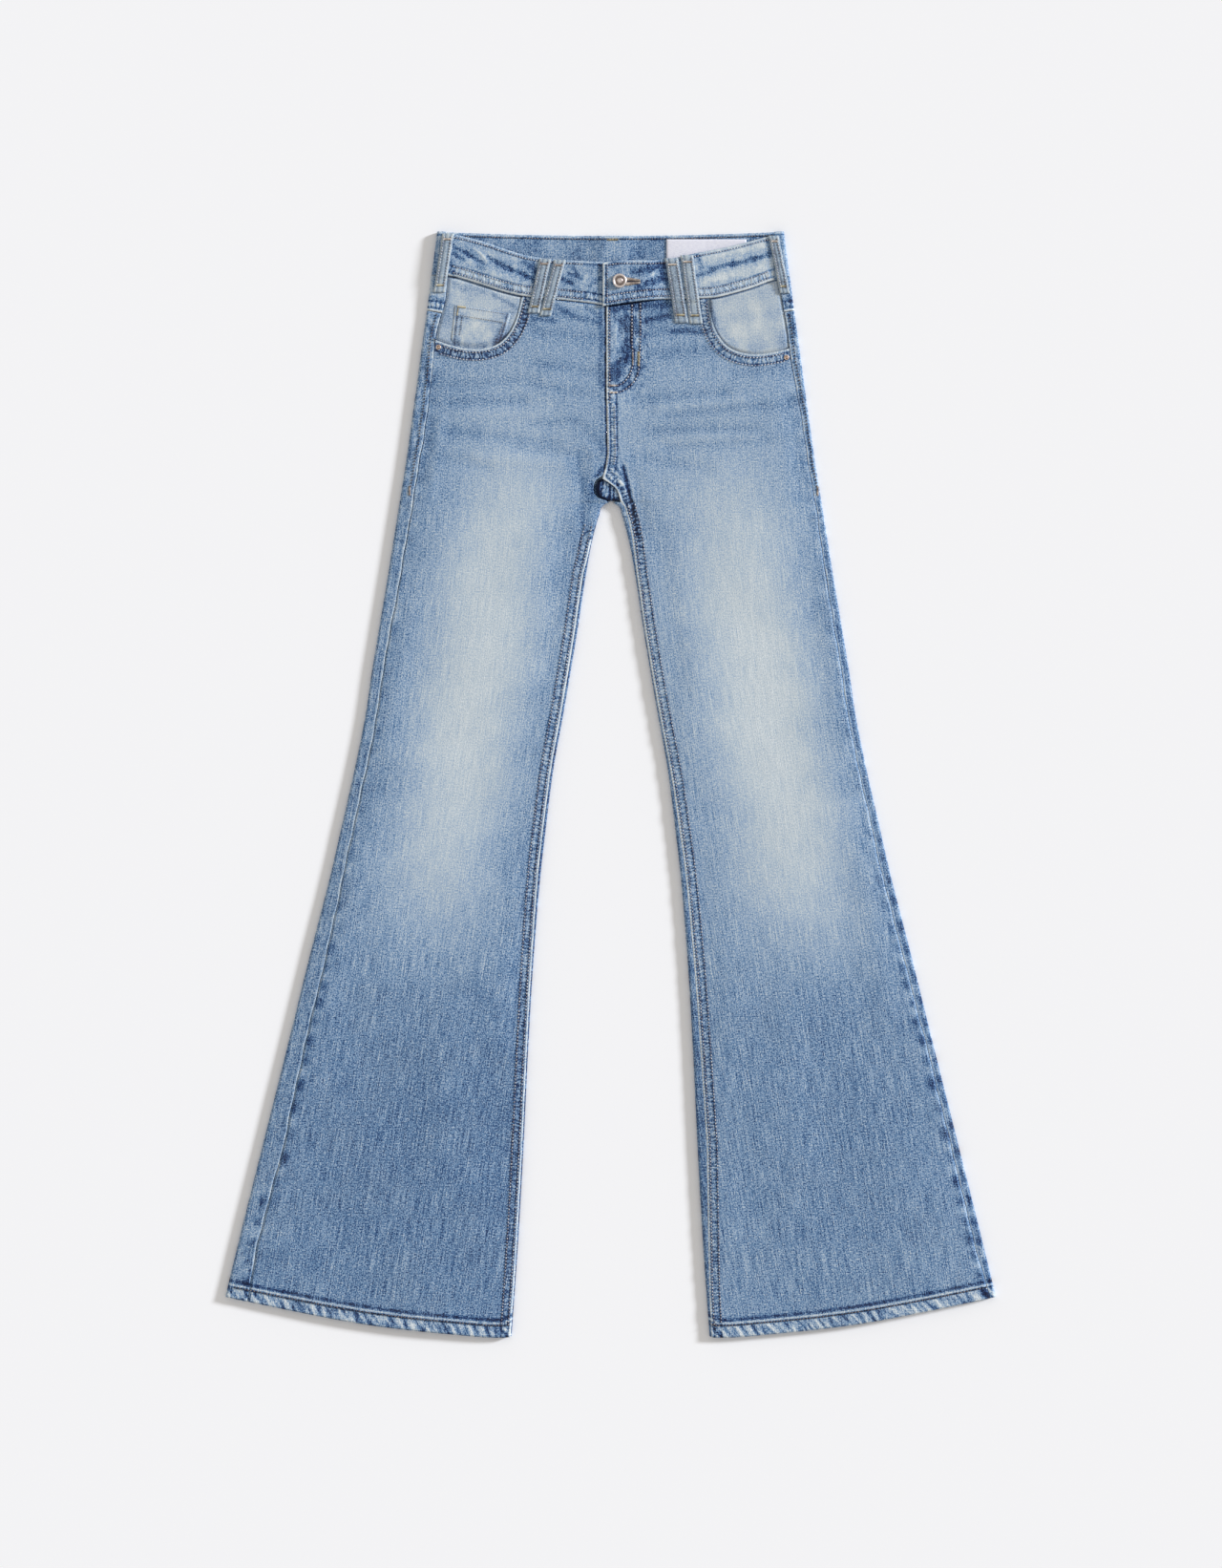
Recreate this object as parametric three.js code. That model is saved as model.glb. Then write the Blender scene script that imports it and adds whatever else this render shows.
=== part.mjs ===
import * as THREE from "three";

// Flared jeans laid flat with the front up, in millimetres.
// Seen from above +X runs to the right of the garment and +Y to the waist. +Z is up from the surface below it.
// "down" is the distance from the back of the waist towards the hems, and "across" that from the middle.

// Driving dimensions
const LENGTH = 1122.2; // back of the waist to the lowest corner of the hems
const DENIM = 1.0; // one layer of cloth
const BAND = 2.0; // waistband, two layers sewn together
const HEM = 1.9; // cloth turned up at the hem
const FOLD_HEIGHT = 5.0; // a leg lying flat, over both layers
const BAND_HEIGHT = 6.4; // the waistband lying flat, over both sides
const SEAM_GAP = 0.3; // between two pieces sewn together
const CROTCH = 274.5; // down to the top of the gap between the legs
const FLY_END = 165; // down to the foot of the fly
const FLY_SHIFT = -4; // the front edge lies this far left of the middle along the fly
const FRONT_SEAM_END = 244; // down to where the front seam reaches the crotch piece
const SHORTEST_ROLL = 3; // least width that a back leg turns onto the front
const BUTTON = { across: 9.2, down: 50.7, radius: 7.4, height: 2.6 };
const RIVET = { radius: 2.6, height: 1.0, left: 174.6, leftDown: 117.6, right: 178.6, rightDown: 128 };
const ZIP = { from: 76, to: 160, left: -14, right: 8 };
const LABEL = { left: 56.7, right: 138, top: 7.8, bottom: 36 };
const COIN_POCKET = { inner: 101, outer: 158.2, topInner: 83.5, topOuter: 75, clear: 1.2 };
const YOKE = { top: 48, side: 80, middle: 112 }; // down to its top and seam at the folds, and at the back
const BACK_BAND = { height: 43, dip: 4.3, sideHeight: 45 }; // the top edge dips at the middle of the back
const SIDE_SEAM = 166.5; // from the middle to the waistband's side seams, under the side belt loops
const SIDE_PART = 160; // from the middle, past which the front waistband's edge ends the back one
const BACK_LIFT = 1.3; // the middle of the back stands on its belt loop
const LIFT_FADE = { beside: [1, 22], below: [4, 60] }; // from the loop's edges, where the lift dies away
const RISE_COLUMNS = [30, 22, 15, 8]; // from the middle, where the back bends over its loop

// Half the width of the garment at each height: the outer fold, and the inner fold below the crotch.
const OUTLINE = [
  { down: 0, outer: 176 },
  { down: 80, outer: 186.2 },
  { down: 143, outer: 195 },
  { down: 172, outer: 199 },
  { down: 235, outer: 207.9 },
  { down: 288, outer: 216.3 },
  { down: 346, outer: 225.5 },
  { down: 443, outer: 241.5 },
  { down: 540, outer: 258.8 },
  { down: 637, outer: 280.6 },
  { down: 734, outer: 305.1 },
  { down: 831, outer: 329.3 },
  { down: 928, outer: 353.4 },
  { down: 1000, outer: 371.4 },
  { down: 1130, outer: 402.9 },
];
const INNER_FOLD = [
  { down: CROTCH, inner: 1.5 },
  { down: 277, inner: 6 },
  { down: 288, inner: 11.2 },
  { down: 317, inner: 19.4 },
  { down: 346, inner: 24.6 },
  { down: 404, inner: 33.5 },
  { down: 443, inner: 40 },
  { down: 540, inner: 57 },
  { down: 637, inner: 69.4 },
  { down: 734, inner: 77.9 },
  { down: 831, inner: 83.7 },
  { down: 928, inner: 88.4 },
  { down: 1000, inner: 92.2 },
  { down: 1130, inner: 101.4 },
];

// How far each back leg is turned onto the front, from its folds to the outseam and to the inseam.
const TURNED = [
  { down: 0, leftOut: 15, rightOut: 11, leftIn: 3, rightIn: 3 },
  { down: 80, leftOut: 15, rightOut: 10.2, leftIn: 3, rightIn: 3 },
  { down: 143, leftOut: 13.4, rightOut: 9, leftIn: 3, rightIn: 3 },
  { down: 172, leftOut: 14.5, rightOut: 8, leftIn: 3, rightIn: 3 },
  { down: 288, leftOut: 13, rightOut: 6.5, leftIn: 3, rightIn: 3 },
  { down: 443, leftOut: 11, rightOut: 7.5, leftIn: 3, rightIn: 3 },
  { down: 540, leftOut: 11.5, rightOut: 7.5, leftIn: 3, rightIn: 3 },
  { down: 637, leftOut: 12.2, rightOut: 8.3, leftIn: 3, rightIn: 4.5 },
  { down: 734, leftOut: 16.5, rightOut: 8.3, leftIn: 3, rightIn: 5.8 },
  { down: 831, leftOut: 17.2, rightOut: 6.8, leftIn: 3, rightIn: 7.2 },
  { down: 928, leftOut: 21, rightOut: 7.6, leftIn: 3, rightIn: 9 },
  { down: 1000, leftOut: 20, rightOut: 8.2, leftIn: 3, rightIn: 6.4 },
  { down: 1130, leftOut: 23.5, rightOut: 6.5, leftIn: 3, rightIn: 3 },
];

// Down to the lowest edge of the hems, from the inner fold outwards.
const HEM_EDGE = [
  { across: 98, down: 1119 },
  { across: 106, down: 1123.6 },
  { across: 162, down: 1119.6 },
  { across: 248, down: 1109.2 },
  { across: 330, down: 1094.4 },
  { across: 391, down: 1081.4 },
];

// Down to the front waistband's top and bottom edges, from the middle outwards.
const FRONT_BAND = [
  { across: -10, leftTop: 33, leftBottom: 75, rightTop: 33, rightBottom: 76.5 },
  { across: 4, leftTop: 31.5, leftBottom: 75, rightTop: 30.2, rightBottom: 74.6 },
  { across: 23, leftTop: 30.4, leftBottom: 72.5, rightTop: 29.7, rightBottom: 71.8 },
  { across: 45, leftTop: 29.1, leftBottom: 70, rightTop: 29.5, rightBottom: 69.4 },
  { across: 65, leftTop: 27.6, leftBottom: 68.2, rightTop: 27, rightBottom: 68.8 },
  { across: 86, leftTop: 24.4, leftBottom: 66, rightTop: 22.4, rightBottom: 68.3 },
  { across: 106, leftTop: 18.4, leftBottom: 61.8, rightTop: 18.6, rightBottom: 67.2 },
  { across: 127, leftTop: 11.2, leftBottom: 55.3, rightTop: 14, rightBottom: 62.2 },
  { across: 145, leftTop: 6.2, leftBottom: 49.6, rightTop: 9.2, rightBottom: 56.8 },
  { across: 160, leftTop: 2.9, leftBottom: 45.6, rightTop: 5.4, rightBottom: 51.2 },
  { across: 184, leftTop: 0.9, leftBottom: 44, rightTop: 1.6, rightBottom: 44.6 },
];

// The scooped pocket mouths, from the waistband round to the outseam.
const MOUTH = {
  left: [
    { across: 89.7, down: 66.5 },
    { across: 92.3, down: 77.6 },
    { across: 96.5, down: 91.6 },
    { across: 103.3, down: 104.1 },
    { across: 114.6, down: 114.5 },
    { across: 127, down: 118.6 },
    { across: 143.7, down: 119.3 },
    { across: 161.5, down: 115.8 },
    { across: 184, down: 108 },
  ],
  right: [
    { across: 100.4, down: 68.6 },
    { across: 101.7, down: 81.9 },
    { across: 104.3, down: 94.4 },
    { across: 110.1, down: 106.7 },
    { across: 118.2, down: 116.4 },
    { across: 129.5, down: 122.2 },
    { across: 143.1, down: 124.8 },
    { across: 165.4, down: 122.8 },
    { across: 186, down: 117.5 },
  ],
};

// Belt loops on the front, each from the waistband's top edge to its foot: across and down for both ends
const FRONT_LOOPS = [
  { name: "side_left", side: -1, top: [164.6, 2.4], foot: [173.7, 62], width: 12 },
  { name: "front_left_outer", side: -1, top: [66, 27.8], foot: [78.1, 83], width: 12 },
  { name: "front_left_inner", side: -1, top: [51.1, 29], foot: [66.1, 85.8], width: 12 },
  { name: "front_right_inner", side: 1, top: [61.8, 27.6], foot: [72.2, 92.9], width: 13.5 },
  { name: "front_right_outer", side: 1, top: [77.3, 24.4], foot: [87, 93.9], width: 13.2 },
  { name: "side_right", side: 1, top: [165.2, 4.6], foot: [177, 63], width: 10.5 },
];
const BACK_LOOP = { middle: 2.4, width: 12, top: 5, foot: 66 };

// Levels of the middle of each layer above the surface
const BACK_LEVEL = DENIM / 2;
const FRONT_LEVEL = FOLD_HEIGHT - DENIM / 2;
const FACING_LEVEL = FRONT_LEVEL - DENIM - SEAM_GAP;
const BACK_BAND_LEVEL = BAND / 2;
const FRONT_BAND_LEVEL = BAND_HEIGHT - BAND / 2;
const BUTTONED_LIFT = BAND + SEAM_GAP;
const FOLD_RADIUS = (FRONT_LEVEL - BACK_LEVEL) / 2;
const BAND_FOLD_RADIUS = (FRONT_BAND_LEVEL - BACK_BAND_LEVEL) / 2;

// Value of a table's column at a distance along it, with straight lines between the rows.
function column(table, key, column, at) {
  let row = 0;
  while (row < table.length - 2 && at > table[row + 1][key]) row += 1;
  const [a, b] = [table[row], table[row + 1]];
  const share = THREE.MathUtils.clamp((at - a[key]) / (b[key] - a[key]), 0, 1);
  return THREE.MathUtils.lerp(a[column], b[column], share);
}

const sideName = (side) => (side < 0 ? "left" : "right");
const outerFold = (down) => column(OUTLINE, "down", "outer", down);
const innerFold = (down) => column(INNER_FOLD, "down", "inner", down);
const turnedOut = (side, down) => column(TURNED, "down", sideName(side) + "Out", down);
const turnedIn = (side, down) => Math.max(SHORTEST_ROLL, column(TURNED, "down", sideName(side) + "In", down));
const outseam = (side, down) => outerFold(down) - turnedOut(side, down);
const hemEdge = (across) => column(HEM_EDGE, "across", "down", across);
const bandTop = (side, across) => column(FRONT_BAND, "across", sideName(side) + "Top", across);
const bandBottom = (side, across) => column(FRONT_BAND, "across", sideName(side) + "Bottom", across);
const backBandTop = (across) => BACK_BAND.dip * (1 - (across / outerFold(0)) ** 2);
const backBandBottom = (across) => backBandTop(across) + BACK_BAND.height;

// The back yoke seam slopes up from the middle of the back to the side folds.
function yokeSeam(across) {
  return THREE.MathUtils.lerp(YOKE.middle, YOKE.side, Math.min(1, across / outerFold(YOKE.side)));
}

// The front edges meet on this line, which runs along the fly and then back to the middle.
function frontSeam(down) {
  const share = THREE.MathUtils.clamp((down - FLY_END) / (FRONT_SEAM_END - FLY_END), 0, 1);
  return THREE.MathUtils.lerp(FLY_SHIFT, 0, share);
}

// The middle of the back rises over its belt loop, which lies under it.
function backLift(across) {
  const loopHalf = BACK_LOOP.width / 2;
  const away = Math.abs(across - BACK_LOOP.middle) - loopHalf;
  return BACK_LIFT * (1 - THREE.MathUtils.smoothstep(away, ...LIFT_FADE.beside));
}

// A straight row of numbers from one value to another.
function steps(from, to, count) {
  return Array.from({ length: count }, (_, i) => THREE.MathUtils.lerp(from, to, i / (count - 1)));
}

// A closed wall of cloth round a grid of middle points. Each point moves along the grid's normal, by half a
// layer to the outside and by the rest of the thickness to the inside, and four strips close the edges.
function clothWall(rows, layer, thickness) {
  const high = rows.length;
  const wide = rows[0].length;
  const positions = [];
  const normalAt = (i, j) => {
    const [before, after] = [rows[i][Math.max(j - 1, 0)], rows[i][Math.min(j + 1, wide - 1)]];
    const [above, below] = [rows[Math.max(i - 1, 0)][j], rows[Math.min(i + 1, high - 1)][j]];
    const acrossRow = new THREE.Vector3().subVectors(after, before);
    return new THREE.Vector3().subVectors(below, above).cross(acrossRow).normalize();
  };
  for (const onOutside of [true, false])
    for (let i = 0; i < high; i += 1)
      for (let j = 0; j < wide; j += 1) {
        const distance = onOutside ? layer / 2 : layer / 2 - thickness(i);
        const moved = rows[i][j].clone().addScaledVector(normalAt(i, j), distance);
        positions.push(moved.x, moved.y, moved.z);
      }
  const index = [];
  const quad = (a, b, c, d) => index.push(a, b, c, a, c, d);
  const outside = (i, j) => i * wide + j;
  const inside = (i, j) => high * wide + i * wide + j;
  for (let i = 0; i < high - 1; i += 1)
    for (let j = 0; j < wide - 1; j += 1) {
      quad(outside(i, j), outside(i + 1, j), outside(i + 1, j + 1), outside(i, j + 1));
      quad(inside(i, j), inside(i, j + 1), inside(i + 1, j + 1), inside(i + 1, j));
    }
  for (let i = 0; i < high - 1; i += 1) {
    quad(outside(i, 0), inside(i, 0), inside(i + 1, 0), outside(i + 1, 0));
    quad(outside(i, wide - 1), outside(i + 1, wide - 1), inside(i + 1, wide - 1), inside(i, wide - 1));
  }
  for (let j = 0; j < wide - 1; j += 1) {
    quad(outside(0, j), outside(0, j + 1), inside(0, j + 1), inside(0, j));
    quad(outside(high - 1, j), inside(high - 1, j), inside(high - 1, j + 1), outside(high - 1, j + 1));
  }
  const geometry = new THREE.BufferGeometry();
  geometry.setAttribute("position", new THREE.Float32BufferAttribute(positions, 3));
  geometry.setIndex(index);
  geometry.computeVertexNormals();
  return geometry;
}

// The materials' colours, roughness and metalness
const FINISHES = {
  denim: { color: 0x86a3c2, roughness: 0.9, metalness: 0 },
  paleDenim: { color: 0xb4c2cc, roughness: 0.9, metalness: 0 },
  nickel: { color: 0x8d8882, roughness: 0.35, metalness: 1 },
  copper: { color: 0xa07a58, roughness: 0.4, metalness: 1 },
  brass: { color: 0x9c8a5c, roughness: 0.4, metalness: 1 },
  labelTape: { color: 0xe2e2ec, roughness: 0.7, metalness: 0 },
};

const jeans = new THREE.Group();
function addPiece(name, geometry, finish) {
  const mesh = new THREE.Mesh(geometry, new THREE.MeshStandardMaterial(FINISHES[finish]));
  mesh.name = name;
  jeans.add(mesh);
  return mesh;
}

// A point of the garment. side is -1 for the left half and 1 for the right half.
const place = (side, across, down, level) => new THREE.Vector3(side * across, LENGTH / 2 - down, level);

// On the left half a grid would be inside out, so its rows are turned round there.
function clothPiece(name, side, rows, layer, finish, thickness = () => layer) {
  const turned = side < 0 ? rows.map((row) => [...row].reverse()) : rows;
  return addPiece(name, clothWall(turned, layer, thickness), finish);
}

// Heights of the rows of a leg. The first and the last follow the piece's own edges.
const LEG_ROWS = [95, 118, 143, 172, 202, 235, 262];
const BELOW_CROTCH = [280, 288, 300, 317, 346, 404, 443, 540, 637, 734, 831, 928, 1000, 1060, 1092];
const TOP_FADE = { from: 70, to: 143 };
const HEM_FADE = { from: 1000, to: 1105 };

// A row's height at one place: the row's own, drawn towards the top edge near the waist and to the hem below.
const passed = (at, fade) => THREE.MathUtils.clamp((at - fade.from) / (fade.to - fade.from), 0, 1);
function rowHeight(nominal, topEdge, hem) {
  const nearTop = 1 - passed(nominal, TOP_FADE);
  return nominal + (topEdge - TOP_FADE.from) * nearTop + (hem - HEM_FADE.to) * passed(nominal, HEM_FADE);
}

// Below this height a front leg's columns are evenly spread.
const EVEN_FROM = 435;

const hemThickness = (rows) => (i) => (i >= rows - 2 ? HEM : DENIM);

// Front leg: flat at the front level, with the pocket mouth and the waistband's edge along its top.
function makeFront(side) {
  const middle = (down) => side * frontSeam(down) + SEAM_GAP / 2;
  const inner = (down) => {
    if (down <= CROTCH) return middle(down);
    return innerFold(down) + turnedIn(side, down) + SEAM_GAP;
  };
  const outer = (down) => outseam(side, down) - SEAM_GAP;
  const mouth = MOUTH[sideName(side)];
  const bandSteps = steps(middle(YOKE.side), mouth[0].across, 5).slice(0, -1);
  const topEdge = bandSteps.map((across) => ({ across, down: bandBottom(side, across) + SEAM_GAP }));
  topEdge.push(...mouth);
  const count = topEdge.length;
  const nominal = [TOP_FADE.from, ...LEG_ROWS, CROTCH - 1, ...BELOW_CROTCH, HEM_FADE.to];
  const rows = nominal.map((height, i) =>
    topEdge.map((edge, j) => {
      const even = j / (count - 1);
      const foot = THREE.MathUtils.lerp(inner(HEM_FADE.to), outer(HEM_FADE.to), even);
      const down = rowHeight(height, edge.down, hemEdge(foot));
      const edgeShare = (edge.across - inner(edge.down)) / (outer(edge.down) - inner(edge.down));
      const blend = THREE.MathUtils.smoothstep(height, TOP_FADE.from, EVEN_FROM);
      const share = THREE.MathUtils.lerp(Math.min(edgeShare, 1), even, blend);
      return place(side, THREE.MathUtils.lerp(inner(down), outer(down), share), down, FRONT_LEVEL);
    }),
  );
  clothPiece("front_" + sideName(side), side, rows, DENIM, "denim", hemThickness(rows.length));
}

// A back piece's cross-section from its seam on the front, round a fold and under it: how far each point
// lies inside the fold, and its level.
const ARC_STEPS = steps(0, Math.PI, 5);
const SHORTEST_LEVEL = 0.5; // least level width between a piece's edge and its fold
function wrapPath(turned, radius, frontLevel) {
  const round = ARC_STEPS.map((angle) => ({
    inward: radius - radius * Math.sin(angle),
    level: frontLevel - radius + radius * Math.cos(angle),
  }));
  return [{ inward: Math.max(turned, radius + SHORTEST_LEVEL), level: frontLevel }, ...round];
}

// Back leg: from the outseam round the outer fold, under the front, and below the crotch round the inner fold
// to the inseam. Above the crotch it ends at the middle of the back.
const UNDER_STEPS = steps(0, 1, 8).slice(1, -1);
function makeBack(side) {
  const loopEdge = SEAM_GAP / 2;
  const nominal = [TOP_FADE.from, ...LEG_ROWS, CROTCH - 1, ...BELOW_CROTCH, HEM_FADE.to];
  const section = (height) => {
    const heightAt = (across) => rowHeight(height, yokeSeam(across) + SEAM_GAP, hemEdge(across));
    const points = [];
    const add = (across, level) => points.push(place(side, across, heightAt(across), level));
    for (let i = 0; i <= ARC_STEPS.length; i += 1) {
      const step = (down) => wrapPath(turnedOut(side, down), FOLD_RADIUS, FRONT_LEVEL)[i];
      const down = heightAt(outerFold(height) - step(height).inward);
      points.push(place(side, outerFold(down) - step(down).inward, down, step(down).level));
    }
    const outerEnd = side * points[ARC_STEPS.length].x;
    if (height <= CROTCH) {
      const flatEnd = loopEdge + 2 * (FOLD_RADIUS + SHORTEST_ROLL);
      for (const share of UNDER_STEPS) {
        const across = THREE.MathUtils.lerp(outerEnd, flatEnd, share);
        add(across, BACK_LEVEL + liftAt(side, across, height));
      }
      for (const across of steps(flatEnd, loopEdge, ARC_STEPS.length + 1))
        add(across, BACK_LEVEL + liftAt(side, across, height));
      return points;
    }
    const innerStart = innerFold(height) + FOLD_RADIUS;
    for (const share of UNDER_STEPS) add(THREE.MathUtils.lerp(outerEnd, innerStart, share), BACK_LEVEL);
    for (let i = ARC_STEPS.length; i >= 0; i -= 1) {
      const step = (down) => wrapPath(turnedIn(side, down), FOLD_RADIUS, FRONT_LEVEL)[i];
      const down = heightAt(innerFold(height) + step(height).inward);
      points.push(place(side, innerFold(down) + step(down).inward, down, step(down).level));
    }
    return points;
  };
  const rows = nominal.map(section);
  clothPiece("back_" + sideName(side), side, rows, DENIM, "denim", hemThickness(rows.length));
}

// The lift over the back belt loop dies away below the loop's foot.
function liftAt(side, across, down) {
  const past = down - BACK_LOOP.foot;
  return backLift(side * across) * (1 - THREE.MathUtils.smoothstep(past, ...LIFT_FADE.below));
}

// Down to the edge where a back piece meets the back waistband, or near the side seam the front one.
function bandMeets(side, across) {
  if (across <= SIDE_PART) return backBandBottom(across);
  return Math.max(backBandBottom(across), bandBottom(side, across));
}

// Back yoke: between the back waistband and the back leg, turned onto the front at the side fold as they are.
const YOKE_ROWS = 5;
const UNDER_COLUMNS = 7;
function makeYoke(side) {
  const rows = steps(0, 1, YOKE_ROWS).map((share) => {
    const points = [];
    const add = (across, level) => {
      const down = THREE.MathUtils.lerp(bandMeets(side, across) + SEAM_GAP, yokeSeam(across), share);
      points.push(place(side, across, down, level + liftAt(side, across, Math.min(down, BACK_LOOP.foot))));
    };
    const near = THREE.MathUtils.lerp(YOKE.top, YOKE.side, share);
    const fold = outerFold(near);
    const round = wrapPath(turnedOut(side, near), FOLD_RADIUS, FRONT_LEVEL);
    for (const step of round) add(fold - step.inward, step.level);
    const under = steps(fold - FOLD_RADIUS, RISE_COLUMNS[0], UNDER_COLUMNS).slice(1);
    for (const across of [...under, ...RISE_COLUMNS.slice(1), SEAM_GAP / 2]) add(across, BACK_LEVEL);
    return points;
  });
  clothPiece("yoke_" + sideName(side), side, rows, DENIM, "denim");
}

// Back waistband: one piece from side seam to side seam, turned onto the front at both folds.
const BAND_ROWS = 4;
const BAND_COLUMNS = 8;
function makeBackBand() {
  const half = (side, share) => {
    const points = [];
    const add = (across, level) => {
      const down = THREE.MathUtils.lerp(backBandTop(across), bandMeets(side, across), share);
      points.push(place(side, across, down, level + backLift(side * across)));
    };
    const fold = outerFold(share * BACK_BAND.sideHeight);
    const round = wrapPath(fold - SIDE_SEAM, BAND_FOLD_RADIUS, FRONT_BAND_LEVEL);
    for (const step of round) add(fold - step.inward, step.level);
    const under = steps(fold - BAND_FOLD_RADIUS, RISE_COLUMNS[0], UNDER_COLUMNS).slice(1);
    for (const across of [...under, ...RISE_COLUMNS.slice(1)]) add(across, BACK_BAND_LEVEL);
    return points;
  };
  const rows = steps(0, 1, BAND_ROWS).map((share) => {
    const down = THREE.MathUtils.lerp(backBandTop(0), backBandBottom(0), share);
    const centre = place(1, 0, down, BACK_BAND_LEVEL + backLift(0));
    return [...half(-1, share), centre, ...half(1, share).reverse()].reverse();
  });
  addPiece("waistband_back", clothWall(rows, BAND, () => BAND), "denim");
}

// Front waistbands: the right one steps up over the end of the left one, where the button is.
const BAND_END = { left: 22, right: -8, stepFrom: 56, stepTo: 32, tuck: 1 };
function rightBandLift(across) {
  return BUTTONED_LIFT * (1 - THREE.MathUtils.smoothstep(across, BAND_END.stepTo, BAND_END.stepFrom));
}
function makeFrontBand(side) {
  const end = side < 0 ? -BAND_END.left : BAND_END.right;
  const stepped = steps(end, BAND_END.stepFrom, BAND_COLUMNS);
  const columns = [...stepped, ...steps(BAND_END.stepFrom, SIDE_SEAM - SEAM_GAP, BAND_COLUMNS).slice(1)];
  const rows = steps(0, 1, BAND_ROWS).map((share) =>
    columns.map((across) => {
      const tucked = side < 0 && across < 0;
      const top = tucked ? bandTop(1, -across) + BAND_END.tuck : bandTop(side, across);
      const bottom = tucked ? bandBottom(1, -across) - BAND_END.tuck : bandBottom(side, across);
      const lift = side > 0 ? rightBandLift(across) : 0;
      return place(side, across, THREE.MathUtils.lerp(top, bottom, share), FRONT_BAND_LEVEL + lift);
    }),
  );
  clothPiece("waistband_front_" + sideName(side), side, rows, BAND, "denim");
}

// Pocket facing: the denim that shows in the pocket mouth, one layer below the front.
const FACING_REACH = { under: 12, inner: 10, band: 4, outer: 1.5, least: 30, middle: 90 };
const FACING_COLUMNS = [0, 0.1, 0.14, 0.2, 0.3, 0.42, 0.56, 0.7, 0.85, 1];
const FACING_ROWS = 5;
function makeFacing(side) {
  const mouth = MOUTH[sideName(side)];
  const innerEnd = mouth[0].across - FACING_REACH.inner;
  const outerEnd = (down) => outseam(side, down) + FACING_REACH.outer;
  const mouthDown = (across) => column(mouth, "across", "down", across);
  const rows = steps(0, 1, FACING_ROWS).map((share) =>
    FACING_COLUMNS.map((part) => {
      const estimate = THREE.MathUtils.lerp(innerEnd, outerEnd(FACING_REACH.middle), part);
      const top = bandBottom(side, estimate) - FACING_REACH.band;
      const bottom = Math.max(mouthDown(estimate) + FACING_REACH.under, top + FACING_REACH.least);
      const down = THREE.MathUtils.lerp(top, bottom, share);
      return place(side, THREE.MathUtils.lerp(innerEnd, outerEnd(down), part), down, FACING_LEVEL);
    }),
  );
  clothPiece("pocket_facing_" + sideName(side), side, rows, DENIM, "paleDenim");
}

// Coin pocket: lies on the left facing and ends where the front's pocket mouth covers it.
const COIN_GRID = { rows: 4, columns: 7 };
function makeCoinPocket() {
  const level = FACING_LEVEL + DENIM + SEAM_GAP;
  const mouthDown = (across) => column(MOUTH.left, "across", "down", across);
  const rows = steps(0, 1, COIN_GRID.rows).map((share) =>
    steps(0, 1, COIN_GRID.columns).map((part) => {
      const across = THREE.MathUtils.lerp(COIN_POCKET.inner, COIN_POCKET.outer, part);
      const top = THREE.MathUtils.lerp(COIN_POCKET.topInner, COIN_POCKET.topOuter, part);
      const down = THREE.MathUtils.lerp(top, mouthDown(across) - COIN_POCKET.clear, share);
      return place(-1, across, down, level);
    }),
  );
  clothPiece("coin_pocket", -1, rows, DENIM, "paleDenim");
}

// Belt loops follow the top of what they cross: the waistband, then a step down to the cloth below it.
const LOOP_THICKNESS = 1.2;
const LOOP_STEP = 5;
const LOOP_ROWS = [0, 0.2, 0.4, 0.55, 0.65, 0.72, 0.79, 0.86, 0.93, 1];
function makeFrontLoop(loop) {
  const [topAcross, topDown] = loop.top;
  const [footAcross, footDown] = loop.foot;
  const rows = LOOP_ROWS.map((share) => {
    const middle = THREE.MathUtils.lerp(topAcross, footAcross, share);
    const down = THREE.MathUtils.lerp(topDown, footDown, share);
    const past = down - bandBottom(loop.side, middle - loop.width / 2);
    const onCloth = THREE.MathUtils.smoothstep(past, SEAM_GAP, LOOP_STEP);
    const top = THREE.MathUtils.lerp(BAND_HEIGHT, FOLD_HEIGHT, onCloth);
    const level = top + SEAM_GAP + LOOP_THICKNESS / 2;
    return [-0.5, 0, 0.5].map((part) => place(loop.side, middle + part * loop.width, down, level));
  });
  clothPiece("belt_loop_" + loop.name, loop.side, rows, LOOP_THICKNESS, "denim");
}
const BACK_LOOP_ROWS = 5;
function makeBackLoop() {
  const rows = steps(BACK_LOOP.top, BACK_LOOP.foot, BACK_LOOP_ROWS).map((down) =>
    [-0.5, 0.5].map((part) => place(1, BACK_LOOP.middle + part * BACK_LOOP.width, down, BACK_LEVEL)),
  );
  clothPiece("belt_loop_back", 1, rows, DENIM, "denim");
}

// Zip: a plain strip of tape under the closed fly.
function makeZip() {
  const level = FRONT_LEVEL - DENIM - SEAM_GAP;
  const rows = [ZIP.from, ZIP.to].map((down) =>
    [ZIP.left, ZIP.right].map((across) => place(1, across, down, level)),
  );
  clothPiece("zip", 1, rows, DENIM, "brass");
}

// Label: a blank woven tape on the inside face of the back waistband.
function makeLabel() {
  const level = BAND + SEAM_GAP + DENIM / 2;
  const rows = steps(LABEL.top, LABEL.bottom, 3).map((down) =>
    steps(LABEL.left, LABEL.right, 4).map((across) => place(1, across, down, level)),
  );
  clothPiece("label", 1, rows, DENIM, "labelTape");
}

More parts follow.
